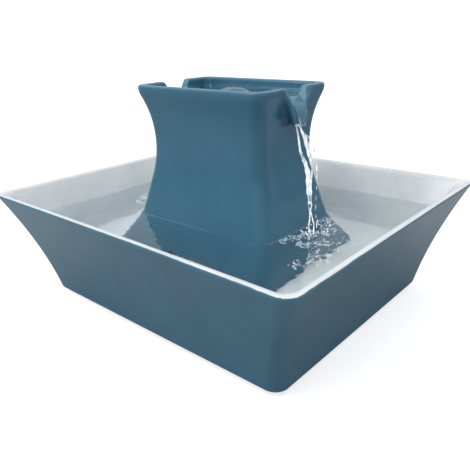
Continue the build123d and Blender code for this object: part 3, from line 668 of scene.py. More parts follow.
# %% The glaze as a node group
ON_EDGES, CHANNEL_PAINTED_HIGHLIGHT = (1.6, 1.4, 1.3, 1), (1.8, 1.55, 1.35, 1)  # tints of the outer glaze: on edges, where it runs thin, and a painted highlight in the spout channels
WORN_LIP = (0.87, 0.86, 0.855, 1)
# darker tint for glaze pooled in creases, also used as painted shade
POOLED_AND_SHADED = (0.50, 0.56, 0.62, 1)
DUST = (0.02, 0.03, 0.04, 1)


def read_number(tree, name):
    """What point_number has stored."""
    return add_node(tree, "Attribute", attribute_name=name).outputs["Fac"]


def glaze_group():
    tree, given, result = group_with(
        "glaze",
        [
            ("Outer colour", "Color", (0.05, 0.13, 0.20, 1)),
            ("Inner colour", "Color", (0.8, 0.85, 0.85, 1)),
            ("Clay colour", "Color", (0.42, 0.34, 0.26, 1)),
            ("Mottle", "Float", 0.12),
            ("Pooling", "Float", 0.5),
            ("Gloss", "Float", 0.16),
        ],
        [("Base colour", "Color"), ("Roughness", "Float"), ("Height", "Float")],
    )
    place = object_place(tree)
    blue, bare, bend = (read_number(tree, name) for name in ("blue", "bare", "bend"))
    pooling = given["Pooling"]

    # Outer and inner glaze, with a border that wanders
    wobble = maths(tree, "SUBTRACT", noise_at(tree, place, 260, 3), 0.5)
    side = map_range(tree, maths(tree, "MULTIPLY_ADD", wobble, 0.6, blue), 0.38, 0.62)
    edge = maths(tree, "MULTIPLY", map_range(tree, bend, 0.10, 0.8), pooling)
    outer = given["Outer colour"]
    on_edge = blend_colours(tree, edge, outer, tinted(tree, outer, ON_EDGES))
    # painted highlight in the spout channels
    outer = blend_colours(tree, read_number(tree, "painted_channel_light"), on_edge, tinted(tree, outer, CHANNEL_PAINTED_HIGHLIGHT))
    worn = map_range(tree, bend, 0.07, 0.22)
    inner = blend_colours(tree, worn, given["Inner colour"], tinted(tree, given["Inner colour"], WORN_LIP))
    colour = blend_colours(tree, side, inner, outer)

    # Mottle from the dip; its large light clouds are partly painted reflection
    clouds = noise_at(tree, place, 26, 5, Roughness=0.6)
    grain = noise_at(tree, place, 900)
    swing = map_range(tree, maths(tree, "MULTIPLY_ADD", grain, 0.35, clouds), 0.35, 1.0, -1.0, 1.0)
    shade = maths(tree, "MULTIPLY_ADD", swing, given["Mottle"], 1.0)
    colour = tinted(tree, colour, grey(tree, shade))

    # Darker in creases, partly glaze pooling and partly painted shade, painted shade beside the cheeks, and a
    # few specks
    crease = map_range(tree, bend, -0.03, -0.30)
    pooling_and_painted_shade = maths(tree, "MULTIPLY_ADD", crease, pooling, read_number(tree, "pooling_and_painted_shade"), use_clamp=True)
    colour = blend_colours(tree, pooling_and_painted_shade, colour, tinted(tree, colour, POOLED_AND_SHADED))
    dust = grains_at(tree, place, 420)
    rare = map_range(tree, noise_at(tree, place, 120), 0.66, 0.70)
    speck = maths(tree, "MULTIPLY", map_range(tree, dust, 0.10, 0.06), rare)
    colour = blend_colours(tree, maths(tree, "MULTIPLY", speck, 0.14), colour, DUST)
    tree.links.new(blend_colours(tree, bare, colour, given["Clay colour"]), result["Base colour"])

    # Gloss, and the height of grain, pits and bare clay
    glossy = maths(tree, "ADD", given["Gloss"], map_range(tree, clouds, 0.3, 0.7, -0.03, 0.03))
    tree.links.new(maths(tree, "MULTIPLY_ADD", bare, 0.6, glossy), result["Roughness"])
    pits = map_range(tree, dust, 0.12, 0.0, 0.0, -0.05)
    fine = maths(tree, "MULTIPLY_ADD", grain, 0.02, pits)
    rough_clay = maths(tree, "MULTIPLY_ADD", grain, bare, fine)
    tree.links.new(maths(tree, "ADD", noise_at(tree, place, 34, 0), rough_clay), result["Height"])
    return tree


def glazed(name, mottle, gloss):
    made, tree, surface = new_material(name)
    parts = use_group(tree, GLAZE, outer_colour=BLUE, inner_colour=WHITE, mottle=mottle, gloss=gloss)
    set_surface(
        tree, surface, Base_Color=parts["Base colour"], Roughness=parts["Roughness"],
        IOR=1.52, Specular_IOR_Level=0.34,
    )
    bump(tree, surface, parts["Height"], 0.12)
    return made


GLAZE = glaze_group()
BLUE = (0.037, 0.129, 0.196, 1)
WHITE = (0.69, 0.705, 0.715, 1)
# the bowl's stronger mottle is partly painted reflection on its walls
bowl.data.materials.append(glazed("bowl_glaze", mottle=0.16, gloss=0.22))
tower.data.materials.append(glazed("tower_glaze", mottle=0.12, gloss=0.15))
print("glazed:", bowl.name, tower.name)

# %% [markdown]
# ## The water in the bowl and in the dish
# Water is shown best as a closed body that fills its vessel and overlaps the walls by a hair,
# because light then bends once at its surface and meets the glaze behind it. Both bodies are laid
# with the same net as the clay. The surface climbs where it touches a wall, and rings run out from
# the places where the streams come down.

# %% Surface of the pool
WATER_Z = 64.0
OVERLAP = 0.3
FALL_X = 73.5  # where each stream meets the pool
UNREST, RING_RISE, MOUND = 0.12, 0.22, 0.8  # heights of ripples, rings, and the water at the fall
WALL_CLIMB, TOWER_CLIMB = 0.3, 1.5  # how far the water climbs where it touches
LEVEL_SLOPE = 0.9  # evens out the distance to a rippled level


def ripple_height(x, y):
    """Rings around both streams, and a slight unrest between them. The divisors set how long each wave is."""
    height = UNREST * np.sin(x / 6.3 + 1.1 * np.sin(y / 13)) * np.sin(y / 7.9 + 0.7 * np.sin(x / 17))
    for side, phase in ((1, 0.4), (-1, 2.0)):
        reach = np.hypot((x - side * FALL_X) * 0.9, y)
        rings = np.cos(reach / 1.55 - phase + 0.8 * np.sin(y / 9)) * np.exp(-reach / 22) * RING_RISE
        height = height + rings * np.clip(reach / 12, 0, 1) + MOUND * np.exp(-((reach / 6) ** 2))
    return height


def pool_distance(x, y, z):
    sides = bowl_walls(x, y, z, BOWL_WALL - OVERLAP)
    climb = WALL_CLIMB * np.exp(-np.abs(sides + OVERLAP) / 2.5)
    climb = climb + TOWER_CLIMB * np.exp(-np.abs(tower_sides(x, y, z)) / 1.7)
    level = WATER_Z + ripple_height(x, y) + climb
    body = np.maximum(sides, (z - level) * LEVEL_SLOPE)
    return keep(body, BOWL_FLOOR_Z - OVERLAP - z, BOWL_COVE)


pool_lines = [
    both_sides(grid_lines((0, 48, 2.4), (48, 104, 0.8), (104, 134, 1.2))),
    both_sides(grid_lines((0, 36, 1.0), (36, 43, 1.4), (43, 53, 0.7), (53, 115, 1.5))),
    grid_lines((BOWL_FLOOR_Z - 2, WATER_Z - 5, 3), (WATER_Z - 5, WATER_Z + 4, 1.0)),
]
pool, _ = clay("pool", pool_distance, pool_lines)
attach(pool, "bowl")

# %% The dish, and the sheet that runs over each spout
DISH_WATER_Z = 155.2
SHEET = 0.8  # thickness of the water on the spillway
SHEET_FROM = 43  # where the sheet begins, along X
DOME, DOME_WIDTH = 3.6, 9.0


def dish_level(x, y):
    """A low dome over the riser, with creased rings around it."""
    reach = np.hypot((x - 4) / 1.25, y)
    dome = DOME * np.exp(-((reach / DOME_WIDTH) ** 4))
    rings = 0.35 * np.cos(reach / 1.7 + 0.6 * np.sin(x / 5)) * np.exp(-reach / 24)
    return DISH_WATER_Z + dome + rings + 0.15 * np.sin(x / 3.7) * np.sin(y / 4.3)


def dish_water_distance(x, y, z):
    inner = tower_sides(x, y, z, TOWER_WALL - OVERLAP) * LEAN_WALL
    body = keep(inner, DISH_Z - OVERLAP - z, COVE_SOFT)
    body = np.maximum(body, (z - dish_level(x, y)) * LEVEL_SLOPE)
    above, half = spill_surface(np.abs(x), z), cheek_half(z) - CHEEK + OVERLAP
    sheet = np.maximum(above - OVERLAP, -above - SHEET)
    for limit in (
        np.abs(y) - half, SPOUT_TIP[1] - 1.5 - z, SHEET_FROM - np.abs(x), z - DISH_WATER_Z - 0.6
    ):
        sheet = np.maximum(sheet, limit)
    return melt(body, sheet, 2.0)


dish_lines = [
    both_sides(grid_lines((0, 20, 0.8), (20, 44, 1.6), (44, 66, 0.6))),
    both_sides(grid_lines((0, 13, 0.6), (13, 40, 1.5))),
    grid_lines((DISH_Z - 2, SPOUT_TIP[1] - 3, 0.8), (SPOUT_TIP[1] - 3, RIM_Z, 0.6)),
]
dish_water, _ = clay("dish_water", dish_water_distance, dish_lines)
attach(dish_water, "tower")

# %% [markdown]
# ## The streams
# Water leaves each spout as two or three cords of different weight, joined by a film at the lip.
# They swing towards each other, merge into one rope that is beaded by its own surface tension, and
# part again above the pool. Each cord is a distance to a line whose place and thickness depend on
# height, so melting them together gives the merging. The fountain stops when the tower is taken
# out, but here the streams stay with the bowl. Stretched between pool and lip, they would be drawn
# through the skirt as the tower rises.

# %% Streams
LIP = (SPOUT_TIP[0] - 0.2, SPOUT_TIP[1] - 0.4)
HEIGHTS = (138.4, 134, 129, 121, 113, 109, 105, 98, 92, 87.5, 84, 80.5, 76, 70, 62)
THIN_CORD = 0.5  # a cord that stays thinner than this is beaded three times as strongly
SWING, BEADING = 0.2, 0.95  # how far a cord swings, and how fast its beads follow each other
FAR_AWAY = 9.0
FILM, FILM_HALF = 0.35, 4.4  # half the film's thickness, and half its width
CORDS = {  # place along X and Y, and half the thickness, at each of the heights
    "near": (
        (62.6, 63.2, 63.8, 65.2, 66.8, 67.8, 68.6, 69.9, 70.9, 71.4, 71.6, 71.8, 72.2, 72.6, 73.0),
        (-6.4, -5.6, -4.9, -4.8, -1.5, -0.6, -0.2, -1.0, -1.5, -1.7, -3.5, -1.9, -2.5, -4.1, -1.2),
        (0.45, 0.5, 0.55, 0.75, 1.2, 1.4, 1.55, 1.7, 1.6, 0.9, 0.42, 0.48, 0.40, 0.40, 0.45),
    ),
    "main": (
        (63.2, 64.8, 65.8, 67.6, 69.4, 70.2, 70.8, 71.3, 71.8, 72.0, 72.1, 72.2, 72.4, 72.8, 73.4),
        (-4.4, -3.5, -0.4, 1.0, 2.0, 2.5, 1.2, -0.6, -1.4, -1.8, -0.4, -2.0, 0.0, 2.1, 0.8),
        (0.45, 0.5, 1.35, 1.45, 1.1, 0.65, 0.45, 0.45, 0.45, 0.55, 0.42, 0.48, 0.38, 0.38, 0.42),
    ),
    "far": (
        (63.4, 64.9, 66.9, 70.3, 72.3, 73.1, 73.8, 74.4, 74.7, 74.8, 74.9, 74.9, 75.0, 75.1, 75.3),
        (-3.8, -2.8, 2.4, 4.0, 3.6, 3.1, 2.6, 1.6, 1.0, 0.7, 0.6, 0.7, 1.0, 1.6, 2.4),
        (0.3, 0.3, 0.32, 0.40, 0.34, 0.32, 0.28, 0.16, 0.20, 0.22, 0.26, 0.18, 0.16, 0.20, 0.16),
    ),
}


def at_height(z, values):
    """A cord's value at any height, from its values at HEIGHTS."""
    return np.interp(-z, np.negative(HEIGHTS), values)


def stream_distance(x, y, z, phase):
    """Cords that melt together, and a film with a wavy hem between them at the lip."""
    body = np.full(np.broadcast(x, y, z).shape, FAR_AWAY)
    fallen = np.clip((LIP[1] - z) / (LIP[1] - WATER_Z), 0, 1)
    for number, (along, across, thickness) in enumerate(CORDS.values()):
        path_x, path_y, half = (at_height(z, values) for values in (along, across, thickness))
        path_y = path_y + SWING * np.sin(fallen * 17 + phase + 2 * number) * fallen
        unrest = (0.06 + 0.14 * fallen) * (3 if max(thickness) < THIN_CORD else 1)
        beads = 1 + unrest * np.sin(z * BEADING + 1.9 * number + phase)
        around = np.hypot(x - path_x, (y - path_y) * 0.85)
        body = melt(body, around - half * beads, 0.5)
    hem = 0.9 + 0.7 * np.cos(y * 0.9 + 0.6)
    film_x = at_height(z, CORDS["main"][0]) - 0.5
    film = np.maximum(np.abs(x - film_x) - FILM, np.abs(y + 1.2) - FILM_HALF)
    body = melt(body, np.maximum(film, LIP[1] - hem - z), 0.7)
    return np.maximum(body, np.maximum(z - LIP[1] - 0.6, WATER_Z - 3 - z))


streams = []
for title, side, phase in (("right", 1, 0.6), ("left", -1, 2.4)):
    lines = [
        side * grid_lines((LIP[0] - 3, FALL_X + 3.5, 0.36))[::side],
        grid_lines((-9, 8, 0.36)),
        grid_lines((WATER_Z - 4, LIP[1] + 1.5, 0.7)),
    ]
    stream, _ = clay(f"stream_{title}", lambda x, y, z: stream_distance(side * x, y, z, phase), lines)
    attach(stream, "bowl")
    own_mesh(stream)
    streams.append(stream)

# %% [markdown]
# ## Foam and drops
# Where a stream breaks the surface it drags air down, which comes up as a raft of bubbles that
# drifts outward in arcs. A bubble is a thin skin, not a bead of water, so these are half-sunk balls
# with a skin material, thickest near the fall. A few true drops fly around the foot of the stream.
# Everything is placed from a seeded generator, so the picture is the same each time.

# %% Bubbles and drops
LARGE_BALL = 1.2  # radius from which a ball gets more faces
ARC_STEP = 0.55  # from one bubble of an arc to the next
DROPS = 34


def object_from(name, mesh, smooth=False):
    """An object from a bmesh, which is used up."""
    data = bpy.data.meshes.new(name)
    mesh.to_mesh(data)
    mesh.free()
    if smooth:
        data.shade_smooth()
    return add_object(name, data)


def balls(name, places, rounds):
    """One object made of many small balls: centres and radii in millimetres."""
    mesh = bmesh.new()
    for place, radius in zip(places, rounds):
        spot = Matrix.Translation(Vector(place) * MM)
        detail = 3 if radius > LARGE_BALL else 2
        bmesh.ops.create_icosphere(mesh, subdivisions=detail, radius=radius * MM, matrix=spot)
    return object_from(name, mesh, smooth=True)


def tower_side_at(x, y, z):
    return float(tower_sides(np.array(x), np.array(y), np.array(z)))


RAFTS = [  # centre x, centre y, spread along x, spread along y, how many, largest radius
    (74, -1, 4, 5, 50, 1.6), (66, -19, 2.2, 4.5, 40, 1.3), (66, 26, 2.2, 4.5, 40, 1.3),
    (82, -20, 4, 4, 26, 1.4), (88, -12, 4, 4, 26, 1.4), (81, 12, 4, 4, 26, 1.4),
    (97, -42, 4, 6, 36, 1.1), (100, -30, 4, 5, 30, 1.1), (94, -2, 6, 8, 26, 0.9),
]
ARCS = [  # centre x, centre y, radius, first angle and last one in degrees
    (65, -18, 4.5, 20, 200), (67, -24, 3.2, 150, 330), (69, -14, 3.4, -60, 110), (82, -21, 4.2, 170, 340),
    (88, -11, 4.6, 190, 350), (80, -8, 3.6, 100, 260), (66, 27, 4.2, -30, 160), (68, 20, 3.2, 180, 340),
    (73, 24, 3.0, -80, 60), (80, 12, 4.0, -20, 120), (98, -36, 3.4, 30, 180), (94, -47, 3.0, 200, 350),
    (103, -28, 2.8, 80, 220), (92, -28, 2.6, -40, 90),
]


def bubble_places(side, seed):
    """Rafts of loose bubbles around the fall, and arcs of fine ones that ride on the rings."""
    pick = np.random.default_rng(seed)
    places, rounds = [], []

    def settle(x, y, radius, spacing):
        level = WATER_Z + float(ripple_height(np.array(x), np.array(y)))
        crowded = any(
            np.hypot(x - place[0], y - place[1]) < spacing * (radius + other)
            for place, other in zip(places, rounds)
        )
        if not crowded and tower_side_at(x, y, level) > radius * 0.6:
            places.append((x, y, level - 0.25 * radius))
            rounds.append(radius)

    shown = [arc for arc in ARCS if side > 0 or arc[1] > -20]  # the left stream is calmer in front
    for centre_x, centre_y, reach, first, last in shown:
        for step in range(round(radians(last - first) * reach / ARC_STEP)):
            angle = radians(first) + step * ARC_STEP / reach
            x = side * (centre_x + cos(angle) * reach + 0.25 * pick.normal())
            settle(x, centre_y + sin(angle) * reach + 0.25 * pick.normal(), 0.3 + 0.4 * pick.random(), 0.5)
    for raft_x, raft_y, spread_x, spread_y, count, largest in RAFTS:
        if side < 0 and raft_y < -25:
            continue
        for _ in range(count):
            x, y = side * (raft_x + pick.normal() * spread_x), raft_y + pick.normal() * spread_y
            settle(x, y, 0.35 + (largest - 0.35) * pick.random() ** 2.2, 0.8)
    return places, rounds


def drop_places(side, seed):
    pick = np.random.default_rng(seed)
    places, rounds = [], []
    for _ in range(DROPS):
        angle, reach = pick.random() * tau, 3 + 13 * pick.random() ** 1.4
        x, y = FALL_X + cos(angle) * reach * 0.7, sin(angle) * reach
        z = WATER_Z + 2 + 12 * pick.random() ** 2 * (1 - reach / 20)
        if tower_side_at(x, y, z) > 1:
            places.append((side * x, y, z))
            rounds.append(0.28 + 0.35 * pick.random())
    return places, rounds


bubbles, drops = [], []
for title, side, seed in (("right", 1, 5), ("left", -1, 11)):
    bubbles.append(balls(f"foam_{title}", *bubble_places(side, seed)))
    drops.append(balls(f"drops_{title}", *drop_places(side, seed + 1)))
for piece in bubbles + drops:
    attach(piece, "bowl")
print("balls:", {piece.name: len(piece.data.vertices) for piece in bubbles + drops})

# %% [markdown]
# ## How water is shaded
# Water has almost no colour of its own in so thin a layer. What makes it visible is the mirror of
# the sky on its surface, the bending of what lies behind it, and fine ripples. A refracting surface
# would block the lamps from the glaze underneath, so on shadow rays the material lets light
# straight through. The froth of the streams and the skins of bubbles also glow a little: a painted
# highlight.

# %% Water and bubble skin
WATER_IOR = 1.333
AIRY, PAINTED_GLOW = (0.95, 0.97, 1.0, 1), (0.9, 0.96, 1.0, 1)
SKIN, SKIN_PAINTED_GLOW = (0.92, 0.97, 1.0, 1), (0.85, 0.95, 1.0, 1)


def water_material(name, tint, ripple_scale, ripple_mm, froth=0.0):
    """Clear water. With froth, streaks of it are full of air and scatter light instead, and glow a little, a
    painted highlight.
    """
    made, tree, surface = new_material(name)
    set_surface(tree, surface, Base_Color=tint, Roughness=0.0, IOR=WATER_IOR, Transmission_Weight=1.0)
    place = object_place(tree)
    bump(tree, surface, noise_at(tree, place, ripple_scale), ripple_mm)
    water = surface.outputs["BSDF"]
    if froth:
        streaks = noise_at(tree, stretched(tree, place, (1, 1, 0.12)), 500)
        airy_and_painted_glow = add_node(tree, "BsdfDiffuse", {"Color": AIRY}).outputs["BSDF"]
        # painted highlight: the froth glows a little, as if lit more strongly
        painted_glow = add_node(tree, "Emission", {"Color": PAINTED_GLOW, "Strength": 0.3}).outputs["Emission"]
        airy_and_painted_glow = add_node(tree, "AddShader", {0: airy_and_painted_glow, 1: painted_glow}).outputs["Shader"]
        water = mix_shaders(tree, map_range(tree, streaks, 0.40, 0.62, 0.06, froth), water, airy_and_painted_glow)
    clear = add_node(tree, "BsdfTransparent", {"Color": tint}).outputs["BSDF"]
    end_with(tree, mix_shaders(tree, add_node(tree, "LightPath").outputs["Is Shadow Ray"], water, clear))
    return made


def skin_material(name):
    """A bubble: nearly nothing face on, a bright rim where the skin is seen edge on, and a faint glow that is
    a painted highlight.
    """
    made, tree, surface = new_material(name)
    # painted highlight: the skin glows faintly through its emission
    set_surface(
        tree, surface, Base_Color=SKIN, Roughness=0.05, Specular_IOR_Level=1.0,
        Emission_Color=SKIN_PAINTED_GLOW, Emission_Strength=0.25,
    )
    rim = add_node(tree, "LayerWeight", {"Blend": 0.35}).outputs["Facing"]
    uneven = map_range(tree, noise_at(tree, object_place(tree), 700, 1), 0.35, 0.65, 0.45, 1.2)
    share = maths(tree, "MULTIPLY", rim, uneven, use_clamp=True)
    clear = add_node(tree, "BsdfTransparent").outputs["BSDF"]
    end_with(tree, mix_shaders(tree, share, clear, surface.outputs["BSDF"]))
    return made


pool_water = water_material("pool_water", (0.925, 0.985, 1.0, 1), 110, 0.30)
running_water = water_material("running_water", (0.97, 0.99, 1.0, 1), 420, 0.12, froth=0.80)
bubble_skin = skin_material("bubble_skin")
for pieces, finish in (
    ([pool, dish_water], pool_water), (streams + drops, running_water), (bubbles, bubble_skin)
):
    for piece in pieces:
        piece.data.materials.append(finish)
print("water:", pool_water.name, running_water.name, bubble_skin.name)

# %% [markdown]
# ## The foam block
# In front of the pump stands a block of open-cell foam that catches hair. It is cut from a larger
# block with a knife, so its faces are slightly hollow between soft edges, and the knife has opened
# the cells at the surface. A bump map would leave the outline straight, so the cells are real here:
# a web of crossing waves is carved out of the block, and only to the depth that an eye can reach.

# %% Foam filter
foam_low, foam_high = (np.array(corner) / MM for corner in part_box("foam_filter"))
foam_middle, foam_half = (foam_low + foam_high) / 2, (foam_high - foam_low) / 2
CELL = 1.9  # size of one cell of the foam
CELL_DEPTH = 1.5  # how deep the cells are cut
KNIFE_HOLLOW, FOAM_SOFT = 0.5, 1.6


def foam_distance(x, y, z):
    across, along, rise = (value - middle for value, middle in zip((x, y, z), foam_middle))
    face = np.abs(across) - foam_half[0] + KNIFE_HOLLOW * np.cos(along / 18) * np.cos(rise / 14)
    end = np.abs(along) - foam_half[1] + 0.3 * np.cos(rise / 14)
    top = np.abs(rise) - foam_half[2] + 0.4 * np.cos(along / 15)
    block = keep(keep(face, end, FOAM_SOFT), top, FOAM_SOFT) + 0.15
    swayed = (x + 0.3 * np.sin(z), y + 0.4 * np.sin(x), z + 0.4 * np.sin(y))
    u, v, w = (tau / CELL * value for value in swayed)
    web = np.sin(u) * np.cos(v) + np.sin(v) * np.cos(w) + np.sin(w) * np.cos(u)
    cells = np.maximum((0.25 - web) * 0.35, -block - CELL_DEPTH)
    return carve(block, cells, 0.25)


foam_lines = [grid_lines((low - 1, high + 1, 0.55)) for low, high in zip(foam_low, foam_high)]
foam, _ = clay("filter_sponge", foam_distance, foam_lines)
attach(foam, "foam")
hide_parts("foam_filter")

# %% [markdown]
# ## The cartridge
# The cartridge is a frame with two windows. Each is closed on both sides with a sheet of non-woven
# cloth, welded round its edge and pushed out a little by the charcoal behind it. The cloth is a
# sheet, so it is made as one thin surface, cut to the size of the window. The charcoal is crushed,
# so it is made as angular lumps that fill the space.

# %% Cloth of the cartridge
cloth_low, cloth_high = (np.array(corner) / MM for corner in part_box("filter_cloth"))
CLOTH = 0.8  # thickness that the frame holds
WINDOW_INNER = 2.0  # from the middle of the cartridge to each window
COLUMNS, ROWS = 36, 60
SWELL, SWELL_UNREST, LUMP_SPACING = 0.18, 0.20, 2.6  # how the charcoal pushes the cloth out


def window_cloth(name, face_x, outward, side):
    """One welded sheet, tight at its edge and swollen by lumps of charcoal in the middle."""
    vertices, faces = [], []
    for row in range(ROWS + 1):
        for column in range(COLUMNS + 1):
            s, t = column / COLUMNS, row / ROWS
            y = side * (WINDOW_INNER + s * (cloth_high[1] - WINDOW_INNER))
            z = cloth_low[2] + t * (cloth_high[2] - cloth_low[2])
            swell = min(1.0, 6 * min(s, 1 - s)) * min(1.0, 9 * min(t, 1 - t))
            lump = noise.noise(Vector((y / LUMP_SPACING, z / LUMP_SPACING, face_x)))
            x = face_x + outward * swell * (SWELL + SWELL_UNREST * lump)
            vertices.append((x * MM, y * MM, z * MM))
    for row in range(ROWS):
        for column in range(COLUMNS):
            first = row * (COLUMNS + 1) + column
            faces.append((first, first + 1, first + COLUMNS + 2, first + COLUMNS + 1))
    return new_mesh(name, vertices, faces)


cloths = []
for title, face_x, outward in (("front", cloth_low[0], -1), ("back", cloth_high[0], 1)):
    for end, side in (("right", 1), ("left", -1)):
        cloths.append(window_cloth(f"cloth_{title}_{end}", face_x - outward * CLOTH / 2, outward, side))
for piece in cloths:
    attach(piece, "cartridge")
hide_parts("filter_cloth")

# %% Charcoal of the cartridge
coal_low, coal_high = (np.array(corner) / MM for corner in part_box("charcoal"))
LUMP = 1.95  # width of a lump
LUMP_PITCH, LUMP_INSET = LUMP * 0.86, LUMP * 0.55


def charcoal_lumps(name, seed):
    """Crushed lumps on a shaken grid, each with its own size and a broken outline."""
    pick = np.random.default_rng(seed)
    mesh = bmesh.new()
    low, high = coal_low + LUMP_INSET, coal_high - LUMP_INSET
    along_x, along_z = (grid_lines((low[axis], high[axis], LUMP_PITCH)) for axis in (0, 2))
    along_y = both_sides(grid_lines((WINDOW_INNER + LUMP_INSET, high[1], LUMP_PITCH)))
    for spot in product(along_x, along_y, along_z):
        place = Vector(spot) + Vector(pick.uniform(-0.12, 0.12, 3))
        turned = Matrix.Rotation(pick.uniform(0, tau), 4, Vector(pick.normal(size=3)))
        middle = Matrix.Translation(place * MM) @ turned
        lump = bmesh.ops.create_icosphere(mesh, subdivisions=1, radius=LUMP / 2 * MM, matrix=middle)
        for vertex in lump["verts"]:
            reach = vertex.co - middle.translation
            vertex.co = middle.translation + reach * pick.uniform(0.72, 1.02)
    return object_from(name, mesh)


coal = charcoal_lumps("charcoal_lumps", 3)
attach(coal, "cartridge")
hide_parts("charcoal")
print("charcoal:", len(coal.data.polygons), "faces")

# %% [markdown]
# ## Mouldings, rubber and other fine surfaces
# The pump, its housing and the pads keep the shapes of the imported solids, because those are right.
# What they lack is a surface. A moulding has a fine sparked grain, faint flow marks in its colour,
# places that are rubbed smooth, and after some weeks a thin bloom of lime. Fifteen finishes need
# that, so it is one group with its own values in each. The foam and the charcoal use it too: the
# grain breaks up the light in the foam's cells, and it makes the broken faces of the charcoal
# glint.

# %% Fine surface as a node group
LIME = (0.72, 0.73, 0.70, 1)


def fine_surface_group():
    tree, given, result = group_with(
        "fine_surface",
        [
            ("Main colour", "Color", (0.5, 0.5, 0.5, 1)),
            ("Flow", "Float", 0.06),
            ("Bloom", "Float", 0.1),
            ("Grain scale", "Float", 1600),
            ("Gloss", "Float", 0.5),
        ],
        [("Base colour", "Color"), ("Roughness", "Float"), ("Height", "Float")],
    )
    place = object_place(tree)
    marks = noise_at(tree, place, 55, 4, Distortion=1.4)
    grains = grains_at(tree, place, given["Grain scale"])
    rubs = noise_at(tree, stretched(tree, place, (1, 1, 0.15)), 420, 3)

    swing = map_range(tree, marks, 0.3, 0.7, -1.0, 1.0)
    shade = maths(tree, "MULTIPLY_ADD", swing, given["Flow"], 1.0)
    tone = maths(tree, "MULTIPLY", shade, map_range(tree, grains, 0.0, 0.35, 0.88, 1.0))
    colour = tinted(tree, given["Main colour"], grey(tree, tone))
    film = map_range(tree, noise_at(tree, place, 130, 5, Roughness=0.7), 0.52, 0.74)
    lime = maths(tree, "MULTIPLY", film, given["Bloom"])
    tree.links.new(blend_colours(tree, lime, colour, LIME), result["Base colour"])

    glossy = maths(tree, "ADD", given["Gloss"], map_range(tree, rubs, 0.35, 0.65, -0.07, 0.07))
    tree.links.new(maths(tree, "MULTIPLY_ADD", lime, 0.35, glossy), result["Roughness"])
    tree.links.new(maths(tree, "MULTIPLY_ADD", marks, 0.6, grains), result["Height"])
    return tree


def fine_surface(name, main, gloss, grain_mm, more):
    """A material with the fine surface. More values go to the group, or to the shader's own sockets."""
    made, tree, surface = new_material(name)
    own = {key: more[key] for key in ("flow", "bloom", "grain_scale") if key in more}
    parts = use_group(tree, FINE_SURFACE, main_colour=(*main, 1), gloss=gloss, **own)
    others = {key: value for key, value in more.items() if key not in own}
    set_surface(tree, surface, Base_Color=parts["Base colour"], Roughness=parts["Roughness"], **others)
    bump(tree, surface, parts["Height"], grain_mm)
    return made


FINE_SURFACE = fine_surface_group()

# %% Fifteen fine surfaces
SOFT_SILICONE = dict(bloom=0.16, Subsurface_Weight=0.15, Subsurface_Scale=0.002)
FINE = {  # colour, gloss, grain in millimetres, and more values
    "pad_rubber": ((0.035, 0.036, 0.037), 0.62, 0.10, dict(flow=0.15, bloom=0.10)),
    "black_rubber": ((0.03, 0.03, 0.031), 0.55, 0.08, dict(flow=0.12, bloom=0.14)),
    "grey_silicone": ((0.30, 0.32, 0.33), 0.42, 0.05, SOFT_SILICONE),
    "clear_silicone": ((0.78, 0.81, 0.83), 0.30, 0.04, dict(bloom=0.20, Transmission_Weight=0.45, IOR=1.41)),
    "housing_plastic": ((0.66, 0.68, 0.67), 0.48, 0.06, dict(bloom=0.22, grain_scale=1900)),
    "frame_plastic": ((0.76, 0.77, 0.77), 0.38, 0.04, dict(bloom=0.18, flow=0.04)),
    "pump_plastic": ((0.032, 0.033, 0.036), 0.46, 0.07, dict(bloom=0.16, flow=0.18)),
    "bobbin_plastic": ((0.62, 0.60, 0.50), 0.44, 0.04, dict(bloom=0.04, flow=0.10)),
    "knob_plastic": ((0.42, 0.44, 0.45), 0.28, 0.03, dict(bloom=0.15, Coat_Weight=0.2)),
    "impeller_plastic": ((0.74, 0.74, 0.71), 0.40, 0.04, dict(bloom=0.25)),
    "tube_plastic": ((0.82, 0.85, 0.87), 0.22, 0.03, dict(bloom=0.25, Transmission_Weight=0.6, IOR=1.49)),
    "magnet_ferrite": ((0.06, 0.06, 0.064), 0.50, 0.10, dict(flow=0.2, grain_scale=2600)),
    "shaft_ceramic": ((0.80, 0.79, 0.75), 0.14, 0.01, dict(bloom=0.05, grain_scale=3200)),
    "filter_foam": (
        (0.045, 0.046, 0.05), 0.88, 0.20, dict(flow=0.25, bloom=0.12, grain_scale=1100, Sheen_Weight=0.2)
    ),
    "charcoal_granules": ((0.022, 0.022, 0.023), 0.46, 0.30, dict(flow=0.3, bloom=0.0, grain_scale=900)),
}
finishes = {name: fine_surface(name, *values) for name, values in FINE.items()}
print("finishes:", sorted(finishes))

# %% [markdown]
# ## Stacked steel and wound copper
# The core of the motor is a stack of punched sheets, and the coil is a few thousand turns of
# enamelled wire. Both are ridges side by side, each with its own tone, and the grooves between them
# are darkened with painted shade. Modelling them would cost a million faces that hide inside the
# pump, so one group draws ridges across a direction, and the two materials give it their own pitch.

# %% Ridges as a node group
TARNISH = (0.2, 0.15, 0.11, 1)


